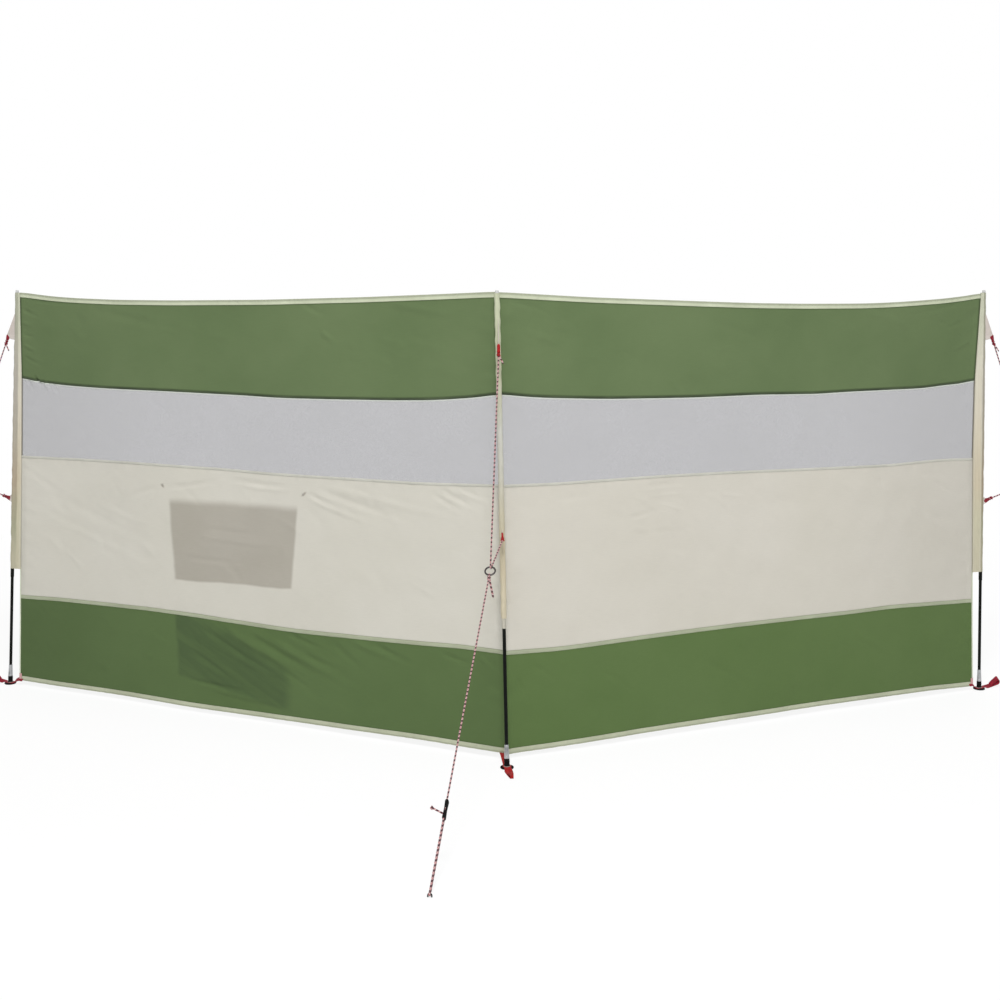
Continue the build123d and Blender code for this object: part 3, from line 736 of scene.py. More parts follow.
def arc(centre, radius, start, end, steps, first, second):
    """Points of an arc, from one angle to another, between two directions."""
    angles = np.linspace(start, end, steps)
    return centre + radius * (np.cos(angles)[:, None] * first + np.sin(angles)[:, None] * second)


def run_along(points):
    """The length run at each point of a line, from its start."""
    return np.concatenate([[0], np.cumsum(np.linalg.norm(np.diff(points, axis=0), axis=1))])


def paired(first, second):
    """Two coordinates for each point of a net."""
    return np.stack(np.broadcast_arrays(first, second), axis=-1)


# %% Tubes and turned shapes
def tube(name, path, radius, material, sides=10, closed=False):
    """A round cord or wire along points, with its frame carried along so that it never twists."""
    path = np.asarray(path, float)
    if closed:
        path = np.vstack([path, path[:1]])
    steps = np.diff(path, axis=0)
    tangents = np.vstack([steps[:1], steps[:-1] + steps[1:], steps[-1:]])
    if closed:
        tangents[0] = tangents[-1] = steps[0] + steps[-1]
    tangents /= np.linalg.norm(tangents, axis=1)[:, None]
    side, _ = across_axes(tangents[0])
    angles = np.linspace(0, 2 * math.pi, sides + 1)
    radii = np.broadcast_to(radius, len(path))
    rings = []
    for point, tangent, size in zip(path, tangents, radii):
        side = unit(side - tangent * side.dot(tangent))
        other = np.cross(tangent, side)
        rings.append([point + size * (math.cos(a) * side + math.sin(a) * other) for a in angles])
    points = np.array(rings).transpose(1, 0, 2)
    cut = paired(run_along(path)[None, :], (angles / (2 * math.pi))[:, None])
    return net_mesh(name, points, cut, material, flip=True)


def turned(name, origin, axis, profile, material, sides=48):
    """A turned shape: profile is a list of radius and height pairs along an axis."""
    first, second = across_axes(axis, np.array((0.0, 1.0, 0.0)))
    angles = np.linspace(0, 2 * math.pi, sides + 1)
    spokes = np.cos(angles)[:, None] * first + np.sin(angles)[:, None] * second
    profile = np.array(profile)
    points = origin + spokes[:, None, :] * profile[None, :, :1] + axis * profile[None, :, 1:]
    run = run_along(profile)
    cut = paired(angles[:, None] * 0.01, run[None, :])
    return net_mesh(name, points, cut, material)


def soft_edges(pairs, radius=0.8 * mm, steps=4):
    """The same profile with its corners rounded."""
    pairs = [np.array(p, float) for p in pairs]
    rounded = [pairs[0]]
    for before, corner, after in zip(pairs, pairs[1:], pairs[2:]):
        reach = min(radius, np.linalg.norm(before - corner) / 2.2, np.linalg.norm(after - corner) / 2.2)
        start = corner + unit(before - corner) * reach
        end = corner + unit(after - corner) * reach
        for t in np.linspace(0, 1, steps + 1):
            rounded.append((1 - t) ** 2 * start + 2 * t * (1 - t) * corner + t ** 2 * end)
    return rounded + [pairs[-1]]


print("helpers ready")

# %% [markdown]
# ## The cloth's shape
# Each bay is pulled between two poles, so it is nearly flat: its seams sag a little, it
# puckers where it is sewn, and tension draws long slanting wrinkles from its fixed corners and
# from the pocket. Simulating this would need guesses about every pull. The wrinkles are laid
# in one by one instead: each is a ridge between two points of the flat cloth.

# %% Seam lines
# How far each seam sags below its straight line, in mm, at fractions of the bay from the middle pole
seam_sags = {
    ("left", "top"): (
        (0, 0), (0.1, 8), (0.25, 19), (0.45, 29), (0.65, 32.5), (0.77, 31), (0.87, 25), (0.93, 18), (1, 3),
    ),
    ("left", "mesh_top"): (
        (0, 2), (0.036, 15), (0.074, 22), (0.123, 30), (0.2, 35), (0.3, 38), (0.42, 41), (0.5, 37),
        (0.65, 32), (0.8, 30), (0.88, 25), (0.93, 19), (0.965, 13), (1, 0),
    ),
    ("left", "mesh_bottom"): ((0, -5), (0.15, 4), (0.45, 4), (0.55, -1), (0.7, -4), (0.85, -3), (1, -1)),
    ("left", "skirt_top"): (
        (0, -8), (0.08, -10), (0.15, -6), (0.3, -1), (0.4, 3), (0.5, -4), (0.6, -11), (0.7, -14),
        (0.82, -12), (0.92, -9), (1, -3),
    ),
    ("left", "bottom"): ((0, -1), (0.15, -4), (0.3, -1), (0.45, 3), (0.7, 1), (1, 0)),
    ("right", "top"): (
        (0, 1), (0.074, 9), (0.17, 19), (0.3, 28), (0.4, 35), (0.5, 41), (0.6, 44), (0.73, 44),
        (0.8, 40), (0.875, 32), (0.925, 25), (0.977, 14), (1, 6),
    ),
    ("right", "mesh_top"): (
        (0, 2), (0.036, 11), (0.074, 18), (0.124, 23), (0.2, 30), (0.3, 33), (0.38, 35), (0.5, 33),
        (0.63, 38), (0.7, 34), (0.8, 32), (0.875, 31), (0.92, 23), (0.977, 17), (1, 5),
    ),
    ("right", "mesh_bottom"): (
        (0, -4), (0.1, 0), (0.3, -5), (0.45, -3), (0.6, 2), (0.8, 6.5), (0.88, 1), (0.93, -2), (1, 2),
    ),
    ("right", "skirt_top"): (
        (0, -7), (0.1, -1), (0.2, -4), (0.35, -8), (0.45, -11), (0.6, -11.5), (0.7, -10), (0.8, -13),
        (0.88, -8), (1, -1),
    ),
    ("right", "bottom"): ((0, 3), (0.1, 2), (0.25, -2), (0.45, -5), (0.8, -5), (0.9, -3), (1, 4)),
}


sag_smoothing = 0.025


def waves(along, across, length, seed, count=7):
    """A calm random surface: a few plane waves of about one length in all directions."""
    chance = np.random.default_rng(seed)
    total = 0.0
    for _ in range(count):
        angle, phase = chance.uniform(0, math.pi), chance.uniform(0, 2 * math.pi)
        turn = 2 * math.pi / (length * chance.uniform(0.7, 1.5))
        total = total + np.sin(turn * (along * math.cos(angle) + across * math.sin(angle)) + phase)
    return total / math.sqrt(count)


def seam_height(bay, seam, fraction):
    """The height of a seam, smoothed between the places where its sag is given."""
    fraction = np.asarray(fraction, float)
    places, sags = np.array(seam_sags[bay, seam]).T
    shifts = np.linspace(-1, 1, 7) * sag_smoothing
    nearby = [np.interp(fraction + shift, places, sags) for shift in shifts]
    return seam_heights[seam] - np.mean(nearby, axis=0) * mm


print("top seam, left bay", seam_height("left", "top", np.linspace(0, 1, 5)).round(4))

# %% Where the wrinkles lie
# For each wrinkle, in mm: where it starts and ends, as along from the middle pole and height,
# and the width and height of its ridge
wrinkle_plan = {
    "left": (
        (1175, 310, 824, 143, 14, 4.1), (1081, 313, 743, 180, 16, -4.6), (985, 308, 645, 164, 14, 4.3),
        (891, 297, 560, 161, 15, -4.1), (1235, 233, 917, 76, 14, 3.5), (826, 321, 644, 272, 10, 3.5),
        (1240, 118, 917, 94, 8, 4.3), (1159, 96, 765, 54, 9, -3.8), (762, 259, 560, 201, 13, 3.2),
        (585, 329, 370, 269, 14, -3.2), (482, 323, 304, 257, 12, 3.5), (230, 317, 87, 282, 10, 3),
        (94, 323, 31, 275, 9, -2.7), (643, 313, 483, 210, 14, 3), (1057, 234, 764, 116, 10, -3),
        (916, 232, 677, 113, 10, 2.7), (1881, 747, 1326, 571, 21, 1.3), (1808, 639, 1429, 513, 18, -1.1),
        (1905, 689, 1574, 563, 17, 1), (1667, 722, 1349, 634, 15, -0.9), (1964, 818, 1761, 717, 14, 1.1),
        (733, 808, 576, 743, 11, 3), (725, 791, 476, 710, 12, -2.6), (709, 826, 288, 723, 15, 2.6),
        (638, 834, 142, 746, 16, -1.8), (1062, 834, 757, 817, 12, 2.6), (1003, 813, 757, 806, 9, -2),
        (1326, 790, 1062, 830, 11, 2.2), (1344, 789, 1529, 731, 13, 1.5), (1335, 783, 1438, 682, 11, -1.4),
        (220, 851, 76, 789, 11, 2.6), (165, 851, 33, 805, 9, -2.2), (257, 836, 113, 770, 11, 1.8),
        (1196, 627, 799, 612, 11, -1.6), (1174, 654, 839, 646, 12, 1.4), (1261, 548, 963, 540, 11, 1.2),
        (1999, 1378, 1931, 1364, 6, -3.6), (1995, 1336, 1922, 1318, 6, 3.6), (1992, 1295, 1914, 1266, 7, -3.6),
        (1988, 1249, 1886, 1213, 7, 3.1), (1998, 1431, 1900, 1394, 8, 2.9), (1977, 1462, 1660, 1441, 7, 2.2),
        (746, 1459, 627, 1405, 12, 2.4), (668, 1363, 590, 1313, 12, -2.2), (1614, 1426, 1254, 1357, 19, 1.9),
        (431, 1467, 98, 1409, 17, -1.9), (1936, 1175, 1887, 1131, 7, 9), (1882, 1165, 1858, 1109, 7, -8.5),
        (1966, 1166, 1936, 1114, 7, 7.5), (1849, 1154, 1810, 1103, 9, 3.8),
    ),
    "right": (
        (524, 836, 733, 845, 9, 1.6), (463, 733, 634, 762, 10, 1.3), (583, 782, 723, 743, 9, -1.1),
        (563, 803, 765, 809, 8, -1.1), (482, 678, 763, 686, 13, 0.8), (216, 813, 368, 824, 12, 1),
        (40, 265, 75, 181, 8, 2.6), (92, 295, 203, 225, 12, 1.8), (719, 480, 1012, 421, 18, -0.7),
        (1278, 681, 1551, 519, 18, 0.7), (1645, 731, 1935, 565, 16, -1), (1788, 796, 1974, 712, 12, 1.1),
        (1928, 1387, 1836, 1351, 7, 2.3), (1969, 1312, 1867, 1268, 7, -2.3), (1946, 1462, 1622, 1397, 12, 1.6),
        (28, 1468, 225, 1415, 11, 1.8), (79, 1370, 261, 1303, 14, -1.4), (762, 1397, 1096, 1306, 19, 1.3),
        (1438, 1428, 1766, 1333, 17, -1.3), (756, 239, 1008, 110, 17, 1.6), (1410, 279, 1691, 125, 16, -1.6),
        (356, 247, 550, 127, 14, 1.4),
    ),
}
creases = {
    bay: [(np.array(((a, b), (c, d))) * mm, width * mm, ridge * mm) for a, b, c, d, width, ridge in plan]
    for bay, plan in wrinkle_plan.items()
}


def scatter(bay, count, seed, heights, slope, length, ridge):
    """Faint extra wrinkles, strewn at random round one direction."""
    chance = np.random.default_rng(seed)
    for _ in range(count):
        along, height = chance.uniform(80, 1920), chance.uniform(*heights)
        run = chance.uniform(0.5, 1.0) * length
        tilt = slope + chance.normal(0, 0.25)
        end = (along + run * math.cos(tilt), height + run * math.sin(tilt))
        ends = np.array(((along, height), end)) * mm
        size = ridge * chance.uniform(0.4, 1.0) * chance.choice((-1, 1))
        creases[bay].append((ends, chance.uniform(11, 26) * mm, size * mm))


# Seed, count, heights from and to, slope on the left and right bay, length, and the ridges' heights
for seed, count, heights, slopes, length, ridges in (
    (3, (26, 26), (420, 830), (0.55, -0.45), (170, 150), (1.3, 1.2)),
    (5, (20, 18), (60, 300), (0.7, -0.6), (110, 110), (1.4, 1.3)),
    (7, (22, 22), (1180, 1460), (0.35, -0.35), (150, 150), (1.2, 1.2)),
    (9, (18, 18), (890, 1120), (0.3, -0.3), (120, 120), (1.0, 1.0)),
):
    for side, bay in enumerate(BAYS):
        scatter(bay, count[side], seed + side, heights, slopes[side], length[side], ridges[side])
print("wrinkles", {bay: len(found) for bay, found in creases.items()})


# %% How far the cloth stands out of its flat
sewn_reach = 34 * mm


def eased(share):
    """0 to 1, with a soft start and end."""
    share = np.clip(share, 0, 1)
    return share * share * (3 - 2 * share)


def swell(bay, along, height):
    """Distance to the sheltered side of the cloth's flat, in metres."""
    total = waves(along, height, 0.62, 11 + BAYS[bay]) * 3.0 * mm
    total = total + waves(along, height, 0.16, 21 + BAYS[bay]) * 0.6 * mm
    fraction = along / pole_spacing
    for seam in seam_heights:
        distance = np.abs(height - seam_height(bay, seam, fraction))
        pucker = np.exp(-((distance / (16 * mm)) ** 2))
        total = total + waves(along, height * 0.3, 0.034, len(seam) + 31) * 0.5 * mm * pucker
    from_ends = np.minimum(along, pole_spacing - along)
    edge_pull = np.exp(-from_ends / (38 * mm))
    total = total + waves(along * 0.4, height, 0.05, 41 + BAYS[bay]) * 1.6 * mm * edge_pull
    for (start, end), width, ridge in creases[bay]:
        run = end - start
        length = np.linalg.norm(run)
        run = run / length
        t = ((along - start[0]) * run[0] + (height - start[1]) * run[1]) / length
        off = (along - start[0]) * run[1] - (height - start[1]) * run[0] + np.sin(t * 4) * width * 0.25
        hold = eased(np.clip(t * 4, 0, 1) * np.clip((1 - t) * 1.6, 0, 1))
        across = (off / width) ** 2
        total = total + ridge * hold * (1 - across) * np.exp(-across)
    return total * eased(from_ends / sewn_reach)


cloth_middle = 1 * mm


def skin(bay, fraction, height, out=0.0):
    """A point on the cloth, or out metres off it on the sheltered side."""
    fraction, height, out = np.broadcast_arrays(np.asarray(fraction, float), height, out)
    offset = cloth_middle + swell(bay, fraction * pole_spacing, height) + out
    return cloth_at(bay, fraction, height) + lee_normal(bay) * offset[..., None]


# %% [markdown]
# ## Bands of cloth
# From the top down each bay has a green band, the mesh, a beige band and a green skirt. They
# are cut as four strips and sewn edge to edge, so each is its own sheet, and neighbours share
# their seam line point for point.

# %% The four bands of each bay
seam_gap = 2 * cloth_middle * math.sin(math.radians(max(bay_angle.values()))) + 0.3 * mm
first_fraction = seam_gap / pole_spacing
columns, row_height = 351, 6 * mm
fractions = np.linspace(first_fraction, 1, columns)
band_plan = (
    ("upper_band", "top", "mesh_top", {"left": upper_green, "right": upper_green}, "green_cloth"),
    ("mesh_band", "mesh_top", "mesh_bottom", {"left": net, "right": net}, "mesh_cloth"),
    ("middle_band", "mesh_bottom", "skirt_top", {"left": left_beige, "right": right_beige}, "beige_cloth"),
    ("lower_band", "skirt_top", "bottom", {"left": left_green, "right": right_green}, "green_cloth"),
)
binding_height, hem_height, skirt_tape_height, thin_seam_height = 17 * mm, 16.5 * mm, 14 * mm, 7 * mm
tape_cover = {
    "top": binding_height,
    "mesh_top": thin_seam_height / 2,
    "mesh_bottom": thin_seam_height / 2,
    "skirt_top": skirt_tape_height / 2,
    "bottom": hem_height,
}
for bay in BAYS:
    for band, upper, lower, cloths, slot in band_plan:
        high, low = seam_height(bay, upper, fractions), seam_height(bay, lower, fractions)
        rows = int(round(float((high - low).mean()) / row_height)) + 1
        share = np.linspace(0, 1, rows)[:, None]
        heights = low + (high - low) * share
        across, _ = np.broadcast_arrays(fractions, heights)
        cut = np.stack([across * pole_spacing, heights], axis=-1)
        tape_above, tape_below = tape_cover[upper] - 0.5 * mm, tape_cover[lower] - 0.5 * mm
        seams = np.stack([high - heights - tape_above, heights - low - tape_below], axis=-1)
        points = skin(bay, across, heights)
        piece = net_mesh(f"{bay}_{band}_cloth", points, cut, cloths[bay], flip=bay == "right", seams=seams)
        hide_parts(f"{bay}_{band}")

# %% [markdown]
# ## Tapes over the seams
# The raw edges are hidden by tape. Along the top and the bottom it is folded over the edge, so
# its section is a long U. Over the inner seams it lies flat on both faces, so its section is a
# thin closed oval.


# %% Folded and flat tapes
def folded_section(depth, thick, steps=6):
    """Distances down from the edge and out of the cloth, from one face over the edge to the other."""
    down = np.linspace(depth, 0.6 * mm, steps)
    turn = np.linspace(0, math.pi, 7)[1:-1]
    face = [(d, -thick) for d in down]
    over = [(-math.sin(a) * thick, -math.cos(a) * thick) for a in turn]
    return np.array(face + over + [(d, thick) for d in down[::-1]])


def flat_section(height, thick, steps=5):
    inset = np.linspace(-0.5, 0.5, steps) * (height - thick)
    front = [(d, -thick * (1 if 0 < i < steps - 1 else 0.75)) for i, d in enumerate(inset)]
    back = [(d, thick * (1 if 0 < i < steps - 1 else 0.75)) for i, d in enumerate(inset[::-1])]
    return np.array([(-height / 2, 0)] + front + [(height / 2, 0)] + back)


def tape_run(name, bay, seam, section, material, loop, upward=False):
    high = seam_height(bay, seam, fractions)
    down, out = section[:, :1], section[:, 1:]
    heights = high + down if upward else high - down
    across, _ = np.broadcast_arrays(fractions, heights)
    run = run_along(section)
    cut = paired(fractions * pole_spacing, run[:, None])
    flip = (bay == "left") != upward
    return net_mesh(name, skin(bay, across, heights, out), cut, material, loop=loop, flip=flip)


# %% Binding, hem and seam tapes
for bay in BAYS:
    fold = folded_section(binding_height, 1.0 * mm)
    hem = folded_section(hem_height, 1.0 * mm)
    tape_run(f"{bay}_top_binding", bay, "top", fold, binding_tape, False)
    tape_run(f"{bay}_hem", bay, "bottom", hem, hem_tape, False, upward=True)
    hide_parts(f"{bay}_edge_binding")
    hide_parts(f"{bay}_edge_binding")
    for seam, height, thick, material in (
        ("mesh_top", thin_seam_height, 1.0 * mm, shaded_seam_finish),
        ("mesh_bottom", thin_seam_height + 2 * mm, 0.9 * mm, thin_tape),
        ("skirt_top", skirt_tape_height, 0.9 * mm, seam_tape),
    ):
        piece = tape_run(f"{bay}_{seam}_tape", bay, seam, flat_section(height, thick), material, True)
        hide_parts(f"{bay}_seam_tapes")


# %% Side bindings
def side_binding(bay, pole):
    """A narrow folded tape up the free part of the cloth's side edge, below the sleeve."""
    at_end = pole != "centre"
    heights = np.linspace(bottom_edge_height + 1 * mm, sleeve_bottom[pole] + 12 * mm, 80)
    section = folded_section(5 * mm, 1.1 * mm, 4)
    tape = edge_tape if at_end else shaded_edge_tape
    inset = section[:, :1] / pole_spacing
    across = 1 - inset if at_end else first_fraction + inset
    across, levels = np.broadcast_arrays(across, heights[None, :])
    run = run_along(section)
    cut = paired(heights, run[:, None])
    points = skin(bay, across, levels, section[:, 1:])
    return net_mesh(f"{bay}_side_binding_{pole}", points, cut, tape, flip=(bay == "left") == at_end)


sides = {(bay, pole): side_binding(bay, pole) for bay in BAYS for pole in (bay, "centre")}
print("side bindings", len(sides))

# %% [markdown]
# ## Sleeves
# A sleeve is one strip of cloth that goes round the pole and is sewn to the cloth's side edge
# with both its edges, so its section is a drop: a loose tunnel with a flat flap. It is drawn
# as that section, swept up the pole, and it is slack, so it ripples where the pole turns it.


# %% Sleeve round each pole
tunnel_radius = {"left": 7.5 * mm, "centre": 9 * mm, "right": 7.5 * mm}
flap_overlap, flap_steps, tunnel_steps = 3.5 * mm, 7, 22


def sleeve_section(distance, radius):
    """Points of the drop, from the cloth round the pole and back, in the pole's own plane."""
    gap = 1.6 * mm
    tip = math.hypot(distance, gap)
    turn = math.acos(min(0.98, radius / tip))
    angles = np.linspace(turn, 2 * math.pi - turn, tunnel_steps)
    round_pole = np.stack([radius * np.cos(angles), radius * np.sin(angles)], axis=-1)
    flap = np.linspace((distance, gap), round_pole[0], flap_steps)[:-1]
    back = np.linspace(round_pole[-1], (distance, -gap), flap_steps)[1:]
    return np.vstack([flap, round_pole, back])


def sleeve(pole):
    heights = np.linspace(sleeve_bottom[pole], sleeve_top + 5 * mm, 152)
    toward = inward(pole)
    beside = np.cross(UP, toward)
    columns = []
    for height in heights:
        distance = max(float(setback(pole, height)) + flap_overlap, 9.5 * mm)
        section = sleeve_section(distance, tunnel_radius[pole])
        columns.append(pole_at(pole, height) + section[:, :1] * toward + section[:, 1:] * beside)
    points = np.array(columns).transpose(1, 0, 2)
    run = np.linalg.norm(np.diff(points, axis=0), axis=2).mean(axis=1)
    run = np.concatenate([[0], np.cumsum(run)])
    slack = waves(run[:, None] * 1.2, heights[None, :], 0.05, 51 + len(pole)) * 0.7 * mm
    slack = slack + waves(run[:, None] * 0.3, heights[None, :], 0.019, 61 + len(pole)) * 0.28 * mm
    hold = np.sin(np.linspace(0, math.pi, len(run)))[:, None] ** 0.5
    spokes = points - points.mean(axis=0)
    points = points + spokes / np.linalg.norm(spokes, axis=2)[..., None] * (slack * hold)[..., None]
    cut = paired(heights[None, :], run[:, None])
    flaps = np.linspace(0, 1, flap_steps)[:-1], np.linspace(2, 3, flap_steps)[1:]
    zone = np.concatenate([flaps[0], np.linspace(1, 2, tunnel_steps), flaps[1]])
    zones = paired(zone[:, None], heights[None, :])
    piece = net_mesh(f"{pole}_sleeve_cloth", points, cut, sleeve_cloth[pole], flip=True, seams=zones)
    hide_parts(f"{pole}_sleeve")
    return piece, float(run[-1]), float(heights[-1] - heights[0])


sleeves = {pole: sleeve(pole) for pole in POLES}
print("sleeves", {pole: (round(w, 3), round(l, 3)) for pole, (_, w, l) in sleeves.items()})

# %% [markdown]
# ## Guy tabs
# Each sleeve has two anchor points for its stay: a triangular gusset near the top and a small
# patch half-way down. Both end in a loop of red webbing. They are flat pieces of doubled
# cloth, so each is a shallow slab with a rounded rim, shaped in the pole's own upright plane.

# %% Stay layout
ring_share = {"left": 0.5055, "centre": 0.425, "right": 0.5055}
ring_reach = {"left": 275 * mm, "centre": 182.5 * mm, "right": 275 * mm}
peg_reach = {"left": 1450 * mm, "centre": 936.5 * mm, "right": 1450 * mm}
tab_heights = {
    "left": (up_cloth(0.884), up_cloth(0.4655)),
    "centre": (up_cloth(0.884), up_cloth(0.4805)),
    "right": (up_cloth(0.884), up_cloth(0.4645)),
}
sleeve_radius = 8 * mm
tab_reach = (38 * mm, 16 * mm)
tab_spread = ((93 * mm, 14 * mm), (17 * mm, 17 * mm))
loop_width, loop_length, loop_hole_radius = 12 * mm, 30 * mm, 3 * mm
ring_radius, ring_wire, cord_radius = 15.5 * mm, 2 * mm, 2.4 * mm


def guy_outward(pole):
    return unit((-0.2093, -0.9779, 0.0)) if pole == "centre" else -inward(pole)


def tab_outward(pole):
    return unit((0.04, -0.9992, 0.0)) if pole == "centre" else -inward(pole)


def ring_centre(pole):
    return pole_at(pole, up_cloth(ring_share[pole])) + guy_outward(pole) * ring_reach[pole]


def line_end(pole):
    return pole_at(pole, 0.0) + guy_outward(pole) * peg_reach[pole] + UP * 12 * mm


def pull(pole):
    return unit(line_end(pole) - ring_centre(pole))


def sideways(pole):
    return unit(np.cross(UP, pull(pole)))


def saddle(pole):
    return ring_centre(pole) - pull(pole) * ring_radius


def loop_root(pole, tab):
    reach = sleeve_radius + 0.3 * mm + tab_reach[tab] - loop_width / 2
    return pole_at(pole, tab_heights[pole][tab]) + tab_outward(pole) * reach


def loop_direction(pole, tab):
    normal = np.cross(tab_outward(pole), UP)
    toward = saddle(pole) - loop_root(pole, tab)
    return unit(toward - normal * toward.dot(normal))


def loop_hole(pole, tab):
    return loop_root(pole, tab) + loop_direction(pole, tab) * (loop_length - loop_width)


print("rings", {pole: ring_centre(pole).round(3).tolist() for pole in POLES})


# %% Slabs of doubled cloth
def slab(name, middle, normal, thick, cut, material, loop=False):
    """A flat net of points given a rounded rim: the net, its rim and its back as one shell."""
    rows, columns, _ = middle.shape
    fall = np.ones((rows, columns))
    if not loop:
        fall[0] = fall[-1] = 0.35
    fall[:, 0] = fall[:, -1] = 0.35
    offset = normal * (thick / 2) * fall[..., None]
    front, back = middle + offset, middle - offset
    shell = np.concatenate([front, back[:, ::-1]], axis=1)
    shell = np.concatenate([shell, shell[:, :1]], axis=1)
    flat = np.concatenate([cut, cut[:, ::-1]], axis=1)
    flat = np.concatenate([flat, flat[:, :1]], axis=1)
    piece = net_mesh(name, shell, flat, material)
    if not loop:
        ends = [
            net_mesh(f"{name}_end{i}", np.stack([front[i], back[i]]), np.stack([cut[i], cut[i]]), material)
            for i in (0, -1)
        ]
        piece = joined(name, [piece, *ends])
    return piece


def gusset(pole, tab):
    outward, normal = tab_outward(pole), np.cross(tab_outward(pole), UP)
    origin = pole_at(pole, tab_heights[pole][tab])
    above, below = tab_spread[tab]
    root, tip = sleeve_radius - 1.5 * mm, sleeve_radius + tab_reach[tab]
    tilt = axes[pole].dot(outward) / axes[pole][2]
    low = np.linspace((root - below * tilt, -below), (tip, -loop_width / 2), 13)
    high = np.linspace((root + above * tilt, above), (tip, loop_width / 2), 13)
    share = np.linspace(0, 1, 17)[:, None, None]
    flat = low + (high - low) * share
    hollow = np.sin(share[..., 0] * math.pi) * np.sin(np.linspace(0, math.pi, 13))[None, :]
    bend = waves(flat[..., 0], flat[..., 1], 0.045, 71 + tab) * 0.6 * mm * hollow
    flat[..., 0] -= (np.sin(share[..., 0] * math.pi) * np.linspace(0.2, 1, 13)) * 2.5 * mm
    middle = origin + flat[..., :1] * outward + flat[..., 1:] * UP + bend[..., None] * normal
    return slab(f"{pole}_gusset_{tab}", middle, normal, 1.9 * mm, flat, gusset_cloth)


# %% Webbing loops
def webbing_loop(pole, tab):
    direction = loop_direction(pole, tab)
    normal = np.cross(tab_outward(pole), UP)
    beside = np.cross(normal, direction)
    angles = np.linspace(0, 2 * math.pi, 49)
    half, straight = loop_width / 2, loop_length - loop_width
    at_root = np.cos(angles) < 0
    spread, thick = ((1.2, 1.3), (10 - 4 * tab) * mm) if pole == "centre" else ((1.6, 0.85), 2.4 * mm)
    outer = np.stack([half * 1.15 * np.cos(angles), half * np.sin(angles) * np.where(at_root, *spread)], axis=-1)
    outer[:, 0] -= np.where(at_root, straight, 0)
    inner = np.stack([loop_hole_radius * np.cos(angles), loop_hole_radius * np.sin(angles)], axis=-1)
    share = np.linspace(0, 1, 5)[None, :, None]
    flat = inner[:, None] + (outer - inner)[:, None] * share
    middle = loop_hole(pole, tab) + flat[..., :1] * direction + flat[..., 1:] * beside
    return slab(f"{pole}_loop_{tab}", middle, normal, thick, flat, webbing[pole], loop=True)


for pole in POLES:
    gussets = joined(f"{pole}_gussets", [gusset(pole, tab) for tab in (0, 1)])
    loops = joined(f"{pole}_webbing_loops", [webbing_loop(pole, tab) for tab in (0, 1)])
    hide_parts(f"{pole}_guy_tabs")
    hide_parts(f"{pole}_guy_tabs")

# %% [markdown]
# ## Stays
# A short cord, the bridle, runs from the upper loop over a steel ring to the lower loop, and
# the long stay pulls on that ring. The stay goes through a slider, round its peg's hook and back
# to the slider, where its tail leaves at the side. All of it is taut, so it is straight from
# knot to knot. A knot is cord or webbing wound on itself, and a trefoil curve is the simplest
# that shows it.


# %% Knots and eyes
def knot(name, place, direction, size=3.1 * mm, wire=1.7 * mm, finish=cord_finish):
    first, second = across_axes(direction)
    t = np.linspace(0, 2 * math.pi, 45)[:-1]
    x, y, z = np.sin(t) + 2 * np.sin(2 * t), np.cos(t) - 2 * np.cos(2 * t), -np.sin(3 * t)
    path = place + (x[:, None] * first + y[:, None] * second) * size / 2.4 + z[:, None] * direction * size * 0.75
    return tube(name, path, wire, finish, sides=8, closed=True)


def eye(name, centre, direction, normal, radius, stretch=1.0):
    path = arc(centre, radius, 0, 2 * math.pi, 29, direction * stretch, normal)[:-1]
    return tube(name, path, 1.9 * mm, cord_finish, sides=8, closed=True)


def tail(name, start, direction, length, droop, bend, thick=cord_radius):
    """A short free end that starts stiff and droops, with its end melted to a point."""
    t = np.linspace(0, 1, 14)
    path = start + direction * (t * length)[:, None] - UP * (t ** 1.7 * droop)[:, None]
    path = path + np.cross(direction, UP) * (np.sin(t * 2.6) * bend)[:, None]
    radii = thick * np.where(t > 0.95, 0.55, 1.0) * np.where(t < 0.02, 0.9, 1.0)
    return tube(name, path, radii, cord_finish, sides=8)


# %% Bridles and rings
rim_centre = (loop_width / 2 + loop_hole_radius) / 2
eye_radius = 4.1 * mm
knot_offset = rim_centre + eye_radius + cord_radius + 1 * mm

